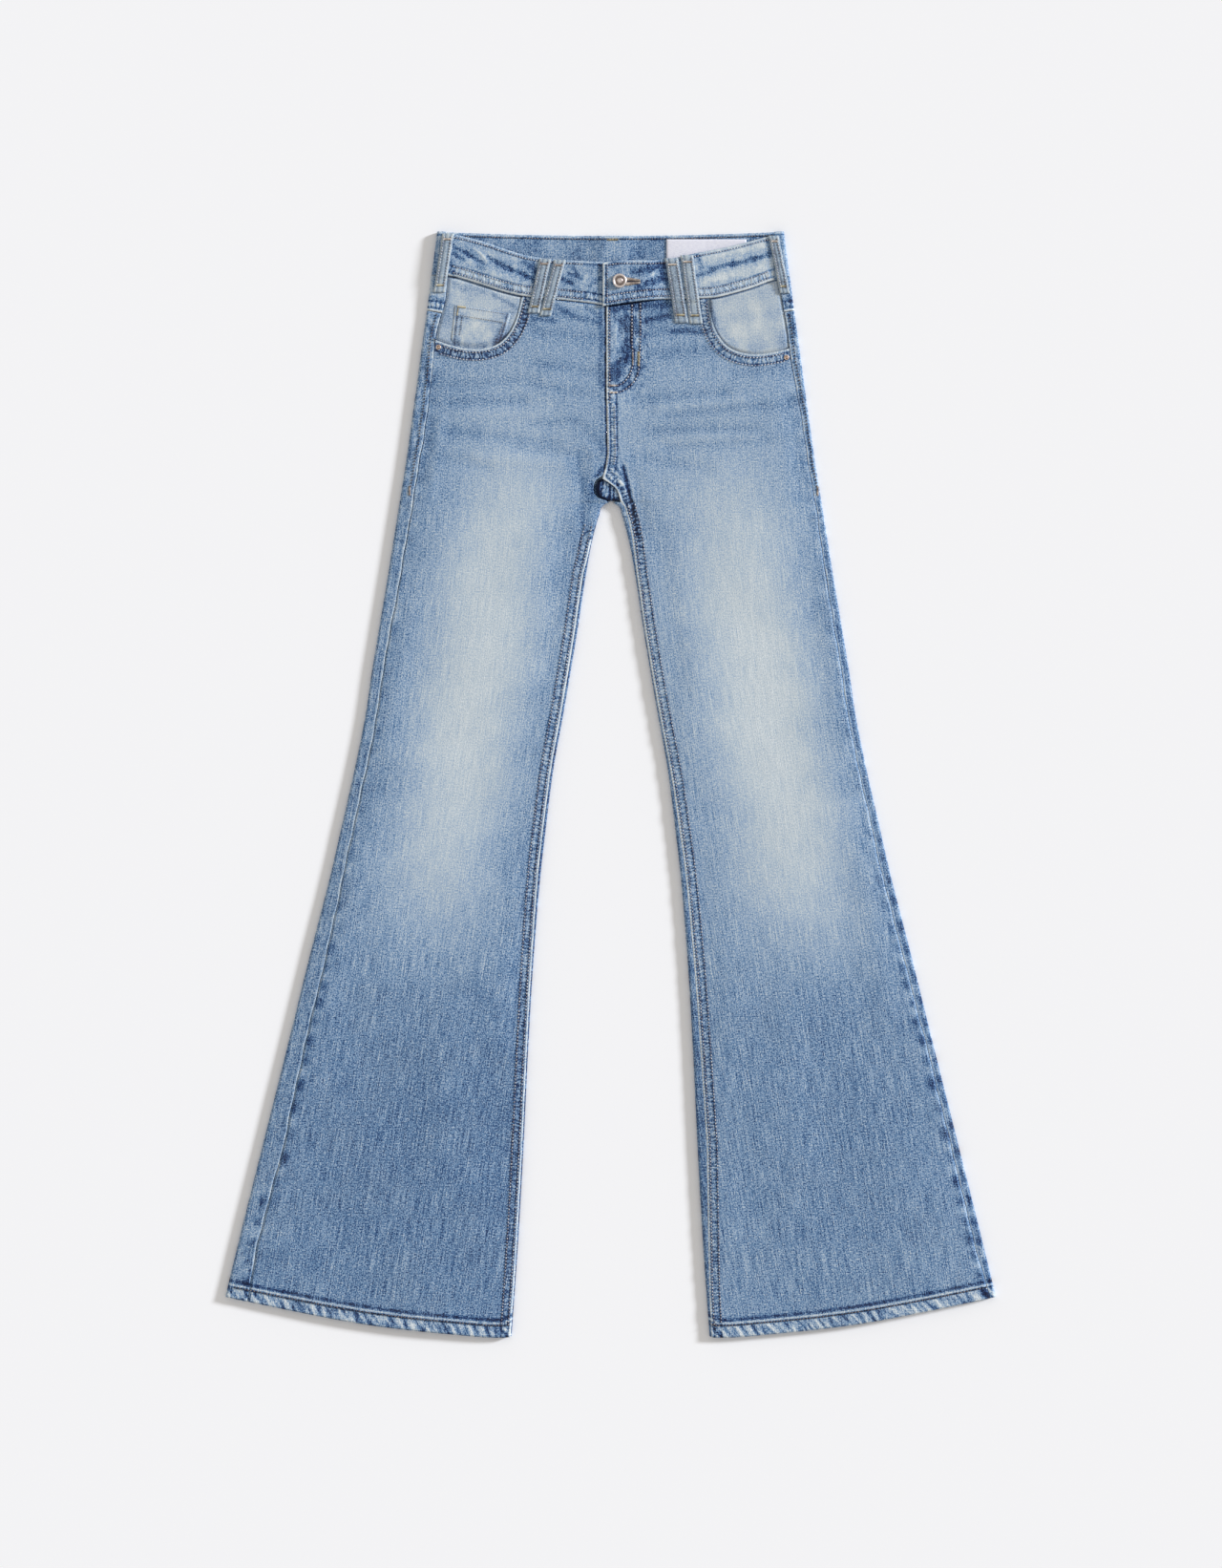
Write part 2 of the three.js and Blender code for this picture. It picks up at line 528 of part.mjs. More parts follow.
// A round metal stud with a rolled rim and a raised middle, turned about its own axis.
const STUD_SIDES = 18;
function makeStud(name, radius, height, across, down, level, finish) {
  const profile = [
    [0, 0],
    [0.8, 0],
    [1, 0.35],
    [0.97, 0.75],
    [0.82, 1],
    [0.66, 0.8],
    [0.5, 0.55],
    [0.4, 0.6],
    [0.22, 0.8],
    [0, 0.85],
  ].map(([r, h]) => new THREE.Vector2(r * radius, h * height));
  const geometry = new THREE.LatheGeometry(profile, STUD_SIDES);
  geometry.rotateX(Math.PI / 2);
  const stud = addPiece(name, geometry, finish);
  stud.position.copy(place(1, across, down, level));
}

makeBackBand();
makeBackLoop();
makeLabel();
for (const side of [-1, 1]) {
  makeYoke(side);
  makeBack(side);
  makeFront(side);
  makeFacing(side);
  makeFrontBand(side);
}
makeCoinPocket();
makeZip();
FRONT_LOOPS.forEach(makeFrontLoop);
const studLevel = FOLD_HEIGHT + SEAM_GAP;
makeStud("rivet_left", RIVET.radius, RIVET.height, -RIVET.left, RIVET.leftDown, studLevel, "copper");
makeStud("rivet_right", RIVET.radius, RIVET.height, RIVET.right, RIVET.rightDown, studLevel, "copper");
const buttonLevel = BAND_HEIGHT + BUTTONED_LIFT + SEAM_GAP;
makeStud("button", BUTTON.radius, BUTTON.height, BUTTON.across, BUTTON.down, buttonLevel, "nickel");

export default jeans;
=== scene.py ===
# %% [markdown]
# Flared jeans laid flat. The garment lies on its back with the front up, so almost everything that shows is
# one layer of denim over another, rolled over at the side folds. Each panel is a surface worked out on a
# grid: its outline comes from short tables of sizes, its height from a fold arc, a soft crown and
# creases. The wash is painted as numbers on the vertices, and a shader turns them into yarns,
# seams and faded cloth.

import bpy
import numpy as np
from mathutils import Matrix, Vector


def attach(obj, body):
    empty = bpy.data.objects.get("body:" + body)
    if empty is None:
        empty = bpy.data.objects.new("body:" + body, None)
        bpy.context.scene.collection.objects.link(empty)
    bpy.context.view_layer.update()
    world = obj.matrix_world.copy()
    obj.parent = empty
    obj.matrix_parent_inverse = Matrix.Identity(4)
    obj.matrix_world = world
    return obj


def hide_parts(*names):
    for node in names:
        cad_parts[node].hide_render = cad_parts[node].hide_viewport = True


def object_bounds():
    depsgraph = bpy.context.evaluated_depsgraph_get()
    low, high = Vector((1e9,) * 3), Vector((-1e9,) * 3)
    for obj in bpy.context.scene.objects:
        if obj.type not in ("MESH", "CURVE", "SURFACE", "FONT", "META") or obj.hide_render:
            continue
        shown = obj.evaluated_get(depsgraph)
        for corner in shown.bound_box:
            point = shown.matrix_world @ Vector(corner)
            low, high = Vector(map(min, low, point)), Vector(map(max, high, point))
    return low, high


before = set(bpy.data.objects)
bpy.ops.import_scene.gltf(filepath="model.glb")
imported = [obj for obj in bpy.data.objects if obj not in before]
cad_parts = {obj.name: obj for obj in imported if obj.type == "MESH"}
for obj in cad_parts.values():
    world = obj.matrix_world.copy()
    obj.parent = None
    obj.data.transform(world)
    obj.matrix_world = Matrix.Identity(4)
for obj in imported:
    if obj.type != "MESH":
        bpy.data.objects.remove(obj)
cad_box = [list(map(float, corner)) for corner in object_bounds()]
MM = 0.001
LOW, HIGH = np.array(cad_box[0]) / MM, np.array(cad_box[1]) / MM
TOP = HIGH[1] - 0.13
print("frame", LOW.round(1), HIGH.round(1))

# %% [markdown]
# Camera, floor and light. The picture is a cut-out seen from straight above, so a long lens looks down from
# four metres. A low sun from the upper right throws the short shadow at the lower left, and an even pale
# sky fills it. World and sun together light a level white floor to the picture's paper white.

# %% Camera, floor and light
PIXEL = 0.97
FRAME_PIXELS = (1280, 1642)
MIDDLE_PIXEL = 639.5
WAIST_PIXEL = 243.0
CAMERA_HEIGHT = 4.0


def from_pixel_x(column):
    """Millimetres to the right of the middle for a column of the picture."""
    return (np.asarray(column, float) - MIDDLE_PIXEL) * PIXEL


def from_pixel_y(row):
    """Millimetres down from the back of the waist for a row of the picture."""
    return (np.asarray(row, float) - WAIST_PIXEL) * PIXEL


def from_pixel(column, row):
    """Place (x, down) on the garment for a place in the picture."""
    return from_pixel_x(column), from_pixel_y(row)


SENSOR = 36
camera = bpy.data.objects.new("camera", bpy.data.cameras.new("camera"))
bpy.context.collection.objects.link(camera)
camera.data.sensor_width = SENSOR
camera.data.lens = SENSOR * CAMERA_HEIGHT / (FRAME_PIXELS[1] * PIXEL * MM)
aim_x, aim_down = from_pixel(FRAME_PIXELS[0] / 2, FRAME_PIXELS[1] / 2)
camera.location = (aim_x * MM, (TOP - aim_down) * MM, CAMERA_HEIGHT)
camera.data.clip_end = 50
bpy.context.scene.camera = camera

SUN_ELEVATION = np.radians(18.5)
SUN_HEADING = np.radians(21.5)
SUN_SHARE = 0.41
FLOOR_WHITE = (0.905, 0.905, 0.922)
sun = bpy.data.objects.new("sun", bpy.data.lights.new("sun", "SUN"))
bpy.context.collection.objects.link(sun)
sun.data.energy = SUN_SHARE * np.pi / np.sin(SUN_ELEVATION)
sun.data.angle = np.radians(9)
sun.data.color = (0.984, 1.02, 1.076)
sun.rotation_euler = (0, np.pi / 2 - SUN_ELEVATION, SUN_HEADING)

world = bpy.data.worlds.new("pale_sky")
bpy.context.scene.world = world
world.use_nodes = True
sky = world.node_tree.nodes["Background"]
sky.inputs["Color"].default_value = (1.0, 0.972, 0.93, 1)
sky.inputs["Strength"].default_value = 1 - SUN_SHARE
bpy.context.scene.view_settings.view_transform = "Standard"

floor_mesh = bpy.data.meshes.new("floor")
REACH, FLOOR_DROP = 30.0, 0.0003
corners = [(x * REACH, y * REACH, -FLOOR_DROP) for x, y in ((-1, -1), (1, -1), (1, 1), (-1, 1))]
floor_mesh.from_pydata(corners, [], [(0, 1, 2, 3)])
floor = bpy.data.objects.new("floor", floor_mesh)
bpy.context.collection.objects.link(floor)
paper = bpy.data.materials.new("paper_white")
paper.use_nodes = True
for socket, value in (("Base Color", (*FLOOR_WHITE, 1)), ("Roughness", 1), ("Specular IOR Level", 0)):
    paper.node_tree.nodes["Principled BSDF"].inputs[socket].default_value = value
floor_mesh.materials.append(paper)
print("camera lens", round(camera.data.lens, 1))

# %% [markdown]
# The cut. These tables hold the garment's sizes in millimetres, down from the back of the waist: how wide
# it lies, how far the back legs roll onto the front, and where each edge runs. A smooth curve goes through
# the rows.

# %% Tables of the cut
CROTCH = 274.5
FOLD = 5.0
ROLL = FOLD / 2
DENIM = 1.0
BAND = 2.0
BAND_TOP = 6.4

OUTER_FOLD = {
    "down": [0, 55, 113, 172, 230, 288, 346, 404, 443, 492, 540, 608, 637, 734, 831, 928, 1025, 1130],
    "width": [176, 183, 191, 199, 207.1, 216.3, 225.5, 235.2, 241.7, 249, 258.6, 274, 280.5, 305.1, 329.1,
              353.4, 377.6, 402.9],
}
INNER_FOLD = {
    "down": [274.5, 277, 288, 300, 317, 346, 404, 443, 492, 540, 608, 637, 734, 831, 928, 1025, 1130],
    "width": [1.5, 6, 11.6, 15.2, 19.4, 24.6, 33.5, 40, 48.4, 57.2, 66, 69.4, 77.9, 83.7, 88.3, 93.8, 101.2],
}
ROLLED_OVER = {
    "down": [0, 50, 67, 98, 111, 132, 172, 230, 288, 346, 443, 540, 637, 734, 831, 928, 1025, 1069, 1130],
    "left_out": [15, 16.5, 17.2, 13, 12.3, 13.3, 14.6, 13.6, 13.1, 12.6, 11, 11.6, 12.2, 16.5, 17.2, 21.2,
                 19.3, 22.3, 24],
    "right_out": [11, 11.3, 10.6, 9.7, 9.9, 10.1, 7.8, 7, 6.3, 7.4, 7.6, 7.5, 8.3, 8.3, 6.8, 7.6, 8.5, 6.5,
                  6],
}
ROLLED_IN = {
    "down": [274.5, 277, 283, 290, 310, 330, 346, 395, 443, 540, 637, 734, 831, 928, 1025, 1076, 1130],
    "left_in": [0.6, 0.6, 0.6, 0.6, 0.6, 0.9, 2.6, 2.4, 2.1, 2.1, 2.5, 1.4, 1.1, 1.1, 1, 0.8, 0.8],
    "right_in": [8.7, 5.6, 4.7, 4.8, 3.6, 2.2, 1.5, 1.1, 1.1, 2, 4.6, 5.8, 7.3, 9.2, 5.2, 2.6, 1.5],
}
FRONT_EDGE = {
    "down": [60, 160, 226, 240, 248, 251, 254, 258, 262, 266, 270, 274.5],
    "left": [-4.8, -4.8, -3.6, -5.6, -8.2, -13, -16, -17.2, -17.3, -16.6, -13.5, -2.1],
    "right": [-4.4, -4.4, -3.2, -5.2, -7.8, -8.5, -3.5, 2.2, 6.2, 7.8, 9.0, 10.2],
}
HEM_EDGE = {
    "across": [95, 99.5, 104, 112, 162, 248, 330, 378, 400],
    "down": [1116, 1121, 1122.2, 1122.4, 1118.8, 1109, 1094.2, 1084.6, 1080.4],
}
BAND_EDGES = {
    "across": [-10, 4, 23, 45, 65, 86, 106, 127, 145, 160, 184],
    "left_top": [33, 31.5, 30.4, 29.1, 27.6, 24.4, 18.4, 11.2, 6.2, 2.9, 0.9],
    "left_bottom": [75, 75, 72.5, 70, 68.2, 66, 61.8, 55.3, 49.6, 45.6, 44],
    "right_top": [33, 30.2, 29.7, 29.5, 27, 22.4, 18.6, 14, 9.2, 5.4, 1.6],
    "right_bottom": [76.5, 74.6, 71.8, 69.4, 68.8, 68.3, 67.2, 62.2, 56.8, 51.2, 44.6],
}
POCKET_MOUTH = {
    "left": [(89.7, 66.5), (92.3, 77.6), (96.5, 91.6), (103.3, 104.1), (114.6, 114.5), (127, 118.6),
             (143.7, 119.3), (161.5, 115.8), (184, 108)],
    "right": [(100.4, 68.6), (101.7, 81.9), (104.3, 94.4), (110.1, 106.7), (118.2, 116.4), (129.5, 122.2),
              (143.1, 124.8), (165.4, 122.8), (186, 117.5)],
}
SIDES = {-1: "left", 1: "right"}


def smooth(knots, values, at):
    """A cubic through a table: each knot's slope is the chords' mean, weighted to the shorter one. Held at
    the ends."""
    x, y = np.asarray(knots, float), np.asarray(values, float)
    step = np.diff(x)
    chord = np.diff(y) / step
    inner = (step[1:] * chord[:-1] + step[:-1] * chord[1:]) / (step[1:] + step[:-1])
    slope = np.concatenate([chord[:1], inner, chord[-1:]])
    at = np.clip(np.asarray(at, float), x[0], x[-1])
    i = np.clip(np.searchsorted(x, at, side="right") - 1, 0, len(x) - 2)
    h = step[i]
    t = (at - x[i]) / h
    return (
        (2 * t**3 - 3 * t**2 + 1) * y[i]
        + (t**3 - 2 * t**2 + t) * h * slope[i]
        + (3 * t**2 - 2 * t**3) * y[i + 1]
        + (t**3 - t**2) * h * slope[i + 1]
    )


def ease(at, low, high):
    """0 below low, 1 above high, and 3t² - 2t³ between."""
    t = np.clip((np.asarray(at, float) - low) / (high - low), 0, 1)
    return t * t * (3 - 2 * t)


def bell(away, width):
    """1 at no distance, falling as exp(-(away / width)²)."""
    return np.exp(-((away / width) ** 2))


def outer_fold(down):
    return smooth(OUTER_FOLD["down"], OUTER_FOLD["width"], down)


def inner_fold(down):
    return smooth(INNER_FOLD["down"], INNER_FOLD["width"], down)


def wobble(side, down):
    """A sewn line is never ruler straight: it wanders by up to half a millimetre below the pockets."""
    return (0.3 * np.sin(down / 5.3 + side) + 0.22 * np.sin(down / 12.7 + 2 * side)) * ease(down, 135, 160)


def rolled_out(side, down):
    return np.interp(down, ROLLED_OVER["down"], ROLLED_OVER[SIDES[side] + "_out"]) + wobble(side, down)


def rolled_in(side, down):
    return np.interp(down, ROLLED_IN["down"], ROLLED_IN[SIDES[side] + "_in"])


def front_edge(side, down):
    """Signed place of a front's inner edge: along the fly, round the crotch and then along the inseam."""
    above = np.interp(down, FRONT_EDGE["down"], FRONT_EDGE[SIDES[side]])
    below = side * (inner_fold(down) + rolled_in(side, down))
    return np.where(np.asarray(down) < CROTCH, above, below)


def hem_edge(across):
    return smooth(HEM_EDGE["across"], HEM_EDGE["down"], across)


def band_edge(side, edge, across):
    return smooth(BAND_EDGES["across"], BAND_EDGES[SIDES[side] + "_" + edge], across)


def back_band_top(across):
    """The back waistband's top edge dips 4.3 mm at the middle of the back."""
    return 4.3 - 4.3 * (np.asarray(across) / 176) ** 2


def yoke_seam(across):
    return 112 - 32 * np.clip(np.abs(across) / 186, 0, 1)


print("hem width of one leg", round(float(outer_fold(1085) - inner_fold(1115)), 1), "mm")

# %% [markdown]
# Creases and wash. A strip of cloth that stood proud in the wash comes out pale, and one that lay in a fold
# stays blue, so creases are placed once and used twice: as soft ridges or troughs in the height of the
# cloth, and as strokes in its colour. Each stroke is a line between two points with a width, a height and a
# change of tone. A few dark strokes are painted shadow instead: under the belt loops' feet and round the
# crotch band.

# %% Strokes
# From column, row to column, row of the picture, then width and height in mm and the change of tone.
STROKES = [
    # Whiskers over the left thigh and hip
    (470, 404, 560, 398, 5.1, -0.25, -0.08),
    (472, 423, 548, 420, 5.1, -0.35, -0.12),
    (556, 445, 606, 441, 4.8, -0.2, -0.1),
    (470, 452, 582, 466, 6.4, -0.35, -0.13),
    (540, 470, 616, 478, 5.1, -0.3, -0.07),
    (480, 434, 570, 434, 6.0, 0.3, 0.04),
    (500, 480, 590, 486, 6.0, 0.3, 0.04),
    (446, 478, 510, 490, 6.8, -0.3, -0.07),
    (560, 380, 628, 392, 6.0, -0.25, -0.11),
    (556, 404, 626, 416, 5.1, -0.2, -0.08),
    (575, 350, 628, 356, 6.8, -0.2, -0.09),
    (548, 336, 566, 350, 5.1, -0.3, -0.14),
    # Whiskers over the right thigh and hip
    (668, 420, 760, 412, 6.0, -0.3, -0.11),
    (700, 436, 800, 424, 5.1, -0.3, -0.12),
    (680, 452, 790, 450, 6.0, -0.35, -0.14),
    (700, 470, 800, 462, 6.0, -0.3, -0.09),
    (690, 428, 780, 420, 5.1, 0.3, 0.07),
    (700, 460, 790, 457, 5.1, 0.3, 0.07),
    (676, 350, 730, 344, 6.0, -0.3, -0.16),
    (680, 372, 740, 366, 6.8, -0.2, -0.07),
    (770, 392, 826, 384, 6.0, -0.25, -0.11),
    (800, 430, 838, 418, 6.8, -0.3, -0.11),
    (664, 480, 740, 492, 7.6, -0.3, -0.09),
    (612, 452, 632, 470, 6.0, -0.2, -0.08),
    # Creases that run down from the crotch and the hips
    (606, 484, 612, 560, 6, -0.5, -0.12),
    (618, 470, 624, 505, 5, 0.3, 0.03),
    (666, 500, 676, 560, 7, -0.4, -0.05),
    (452, 400, 442, 500, 9, -0.5, -0.07),
    (462, 440, 450, 520, 6, 0.4, 0.04),
    (826, 420, 840, 520, 8, -0.4, -0.05),
    (590, 560, 576, 700, 12, -0.5, -0.03),
    (690, 560, 712, 720, 12, -0.5, -0.02),
    (430, 640, 402, 780, 12, 0.5, 0.0),
    (866, 640, 884, 780, 12, 0.5, 0.0),
    (560, 900, 540, 1080, 14, -0.5, 0.0),
    (372, 900, 340, 1060, 16, 0.6, 0.0),
    (900, 900, 930, 1060, 16, 0.6, 0.0),
    (730, 900, 744, 1080, 14, -0.5, 0.0),
    (470, 1060, 460, 1220, 22, 0.6, 0.02),
    (822, 1060, 840, 1220, 22, 0.6, 0.02),
    (520, 1120, 512, 1300, 18, -0.4, -0.02),
    (776, 1120, 790, 1300, 18, -0.4, -0.02),
    # Blue streaks in the fly and along its stitching
    (642, 323, 700, 319, 4.0, 0, -0.34),
    (663, 338, 663, 376, 5.6, 0, -0.16),
    (669, 384, 657, 403, 5.4, 0, -0.44),
    (646, 408, 657, 404, 3.6, 0, -0.4),
    (644, 384, 647, 396, 6, 0, -0.08),
    (680, 334, 700, 330, 7.4, 0, -0.18),
    (684, 326, 700, 323, 3.0, 0, -0.12),
    # Painted shadow under the feet of the two right front belt loops
    (704, 348, 724, 347, 2.6, 0, -0.36),
    (728, 349, 744, 348, 2.6, 0, -0.34),
    (669, 388, 666, 391, 1.2, 0, 0.34),
    (664, 394, 661, 398, 1.2, 0, 0.32),
    (657, 400, 655, 404, 1.2, 0, 0.34),
    (650, 404, 649, 409, 1.2, 0, 0.3),
    (263, 1330, 259, 1358, 1.8, 0, -0.4),
    (636, 499, 650, 517, 1.2, 0, -0.3),
    (665, 350, 668, 356, 1.6, 0, 0.26),
    (664, 363, 667, 370, 1.8, 0, 0.24),
    (659, 327, 661, 334, 1.6, 0, 0.22),
    (644, 373, 652, 372, 1.4, 0, 0.2),
    (651, 342, 654, 352, 1.6, 0, 0.24),
    (645, 490, 656, 506, 1.4, 0, -0.36),
    (641, 492, 654, 511, 1.0, 0, 0.24),
    (657, 324, 656, 340, 4.4, 0, -0.3),
    (656.5, 338, 658, 374, 5.4, 0, -0.46),
    (662, 334, 667, 348, 3.4, 0, -0.4),
    (663, 350, 663, 376, 3.0, 0, -0.3),
    (654, 370, 645, 394, 5.6, 0, -0.44),
    (644, 384, 640, 398, 3.2, 0, -0.4),
    (650, 336, 648, 350, 2.4, -0.2, -0.3),
    (643, 326, 646, 336, 2.6, 0, -0.34),
    (660, 322, 662, 374, 6.5, 0, -0.13),
    (652, 384, 643, 396, 6.0, 0, -0.13),
    (640, 322, 700, 318, 4.6, 0, -0.14),
    (676, 330, 672, 402, 4.4, 0, -0.1),
    (660, 326, 661, 334, 2.2, 0, 0.3),
    (665, 354, 664, 364, 2.2, 0, 0.3),
    (645, 340, 646, 366, 3.0, 0.2, 0.16),
    (641, 376, 642, 386, 2.4, 0, 0.1),
    (630, 326, 630, 404, 3.6, 0, -0.26),
    (632, 404, 630, 470, 3.4, 0, -0.12),
    (668, 372, 660, 402, 3.0, 0, 0.1),
    # The fold beside the crotch band, a trough with painted shadow in it; painted shadow along the edge left of the
    # band; the band's worn patch and its slanting lines
    (652, 487, 659, 515, 2.2, -0.5, -0.1),
    (659, 515, 667, 560, 2.2, -0.5, -0.1),
    (624, 499, 633, 489, 2.2, -0.4, -0.45),
    (620, 506, 622, 522, 2.0, -0.2, -0.34),
    (612, 500, 618, 530, 3.4, 0, -0.12),
    (633, 494, 640, 503, 2.6, 0.3, 0.3),
    (642, 492, 656, 512, 1.6, 0.2, 0.26),
    (640, 496, 652, 514, 1.5, -0.2, -0.34),
    (648, 514, 655, 540, 1.6, 0, 0.2),
    (655, 520, 660, 542, 1.6, 0, -0.4),
    (664, 548, 672, 590, 2.6, 0, -0.14),
    (668, 470, 672, 510, 3.0, 0, 0.08),
    # Left waistband
    (476, 259, 492, 268, 2.4, -0.3, -0.4),
    (490, 267, 506, 277, 2.2, -0.4, -0.44),
    (474, 266, 486, 273, 2.0, -0.2, -0.34),
    (500, 279, 508, 283, 1.8, -0.2, -0.24),
    (511, 271, 536, 284, 2.4, -0.5, -0.46),
    (528, 281, 552, 289, 2.2, -0.4, -0.38),
    (548, 289, 562, 296, 2.6, -0.3, -0.3),
    (506, 270, 511, 276, 1.8, 0.3, 0.24),
    (498, 262, 512, 273, 1.3, 0.4, 0.3),
    (486, 272, 540, 296, 3.4, 0.3, 0.14),
    (548, 275, 562, 285, 3.0, 0, -0.3),
    (559, 276, 561, 312, 2.2, 0, -0.3),
    (588, 293, 600, 298, 2.6, -0.3, -0.42),
    (596, 287, 608, 292, 2.2, -0.2, -0.32),
    (600, 280, 606, 288, 1.6, 0, -0.3),
    (610, 296, 618, 286, 1.4, 0, 0.22),
    (618, 300, 630, 292, 2.6, 0, -0.3),
    (628, 278, 634, 290, 2.2, 0, -0.26),
    (500, 262, 545, 272, 3.6, 0, 0.16),
    (560, 300, 590, 304, 2.4, 0, 0.1),
    (470, 276, 476, 290, 3.4, 0, -0.3),
    # Right waistband
    (730, 290, 748, 284, 2.3, -0.4, -0.42),
    (744, 282, 770, 276, 2.3, -0.5, -0.46),
    (766, 279, 790, 272, 2.4, -0.5, -0.46),
    (786, 273, 812, 266, 2.3, -0.4, -0.46),
    (803, 254, 808, 268, 2.8, 0, -0.36),
    (730, 268, 735, 282, 2.6, 0, -0.32),
    (736, 270, 798, 257, 4.2, 0.3, 0.22),
    (740, 294, 800, 282, 3.6, 0.3, 0.2),
    (664, 285, 698, 279, 4.4, 0, -0.44),
    (668, 301, 700, 290, 4.4, 0, -0.46),
    (676, 292, 672, 299, 1.3, 0.2, 0.34),
    (671, 276, 667, 284, 1.3, 0.2, 0.3),
    (682, 290, 692, 280, 1.3, 0.3, 0.4),
    (690, 276, 699, 298, 3.0, 0, -0.32),
    (640, 280, 648, 274, 2.6, 0, -0.2),
    (660, 276, 676, 272, 2.6, 0, 0.12),
    (643, 308, 668, 305, 2.2, 0, -0.14),
    # Under the waistband and round the loops, with painted shadow under the left front loops' feet
    (674, 337, 700, 331, 2.6, -0.3, -0.46),
    (548, 326, 600, 330, 3.4, 0, -0.16),
    (558, 334, 582, 337, 2.2, 0, -0.3),
    (583, 321, 594, 327, 2.2, 0, -0.3),
    (613, 322, 629, 334, 2.0, -0.2, -0.24),
    (590, 319, 612, 322, 1.8, 0, 0.12),
    (600, 332, 627, 338, 3.4, 0, -0.24),
    (742, 318, 748, 336, 3.2, 0, -0.24),
    (476, 298, 486, 304, 3.4, 0, -0.26),
    (490, 300, 512, 306, 4.4, 0, -0.12),
    (518, 310, 540, 322, 2.6, -0.3, -0.3),
    (530, 300, 544, 306, 3.4, 0, -0.18),
    (505, 362, 528, 352, 4.0, 0, -0.34),
    (786, 366, 820, 360, 5, 0, -0.16),
    (746, 326, 752, 350, 2.6, 0, -0.2),
    (756, 346, 770, 362, 3.0, 0, -0.14),
    (770, 306, 800, 302, 4.0, 0, 0.06),
    (700, 372, 740, 366, 9, 0, -0.06),
    # Dark patches on the rolled back legs and yokes
    (456, 268, 457, 310, 3, 0, -0.2),
    (452, 312, 464, 315, 2.0, 0, -0.34),
    (452, 331, 460, 332, 1.6, 0, -0.3),
    (450, 342, 455, 350, 2.8, 0, -0.3),
    (446, 376, 450, 404, 3.2, 0, -0.26),
    (828, 330, 832, 348, 3, 0, -0.36),
    (824, 300, 828, 314, 3, 0, -0.3),
]


SHARP_BELOW = 4.7


def stroke_sum(x, down, column):
    """The strokes' heights or tones added up. Each fades as exp(-(distance / width)²) from its line, and a
    narrow one ends more sharply, as exp(-|distance / width|^3.2), with a ragged edge."""
    total = np.zeros(np.broadcast(x, down).shape)
    ragged = 1 + 0.5 * np.sin(x / 1.5 + down / 2.6) * np.sin(x / 3.1 - down / 1.4)
    for x0, y0, x1, y1, width, height, tone in STROKES:
        value = height if column == "height" else tone
        if not value:
            continue
        (ax, ay), (bx, by) = from_pixel(x0, y0), from_pixel(x1, y1)
        dx, dy = bx - ax, by - ay
        t = np.clip(((x - ax) * dx + (down - ay) * dy) / (dx * dx + dy * dy), 0, 1)
        away2 = (x - ax - t * dx) ** 2 + (down - ay - t * dy) ** 2
        spread = away2 / width**2
        if width < SHARP_BELOW:
            spread = (spread * ragged) ** 1.6
        total += value * np.exp(-spread)
    return total


# Tone of the wash down each leg: at its outer fold, in the middle of the pale thigh, and at its inner fold.
WASH = {
    "down": [0, 130, 210, 290, 370, 600, 660, 720, 790, 860, 1125],
    "left_outer": [0.54, 0.50, 0.46, 0.47, 0.47, 0.43, 0.45, 0.45, 0.44, 0.43, 0.42],
    "left_peak": [0.55, 0.58, 0.70, 0.88, 0.94, 0.89, 0.80, 0.61, 0.42, 0.36, 0.40],
    "left_inner": [0.55, 0.59, 0.55, 0.38, 0.47, 0.41, 0.40, 0.43, 0.40, 0.35, 0.36],
    "right_outer": [0.54, 0.60, 0.55, 0.50, 0.44, 0.43, 0.42, 0.46, 0.47, 0.46, 0.46],
    "right_peak": [0.55, 0.58, 0.66, 0.84, 0.95, 0.95, 0.88, 0.68, 0.44, 0.41, 0.45],
    "right_inner": [0.55, 0.56, 0.62, 0.55, 0.61, 0.56, 0.55, 0.55, 0.51, 0.49, 0.48],
}
PEAK_PLACE = {-1: 0.53, 1: 0.455}
PEAK_HALF = 0.315
DARKEST_TONE = 0.04


def wash(side, x, down):
    """Tone of the denim, from 0, dark blue, to 1, nearly white. Across a leg it goes from the outer fold's
    value to the inner fold's in a straight line, and a soft bell lifts it to the peak's value: exp(-|away /
    half|^2.3)."""
    name = SIDES[side]
    parts = ("_outer", "_peak", "_inner")
    outer, peak, inner = (smooth(WASH["down"], WASH[name + part], down) for part in parts)
    inner_side = np.where(down > CROTCH, inner_fold(down), 2.0)
    place = (outer_fold(down) - np.abs(x)) / (outer_fold(down) - inner_side)
    place = np.clip(place + 0.018 * np.sin(down / 23 + side) + 0.012 * np.sin(down / 9.1), 0, 1)
    base = outer + (inner - outer) * place
    lifted = np.exp(-np.abs((place - PEAK_PLACE[side]) / PEAK_HALF) ** 2.3)
    return np.maximum(base + (peak - base) * lifted + stroke_sum(x, down, "tone"), DARKEST_TONE)


def crown(away):
    """Rise of the upper layer away from a fold: 1 - exp(-away / 24 mm), 1.8 mm high at the middle."""
    return 1.8 * (1 - np.exp(-np.clip(away, 0, None) / 24))


def slow_waves(x, down):
    """Long, uneven swells of the cloth, a few tenths of a millimetre high."""
    return (
        0.28 * np.sin(x / 37 + down / 91 + 1.3)
        + 0.22 * np.sin(down / 57 - x / 71)
        + 0.12 * np.sin(x / 17 - down / 43 + 0.7)
    )


def puckers(side, down, away):
    """Roping beside a seam: short waves along it that die away within a few millimetres."""
    wave = np.sin(down / 2.9 + 1.7 * np.sin(down / 21 + side)) + 0.6 * np.sin(down / 6.7 + side)
    return 0.22 * wave * bell(away, 6)


def rounded(near):
    """Rise over a fold's arc, from 0 at the fold to 1 at ROLL away from it, along a quarter circle."""
    return np.sqrt(np.clip(1 - (1 - np.clip(near, 0, ROLL) / ROLL) ** 2, 0, 1))


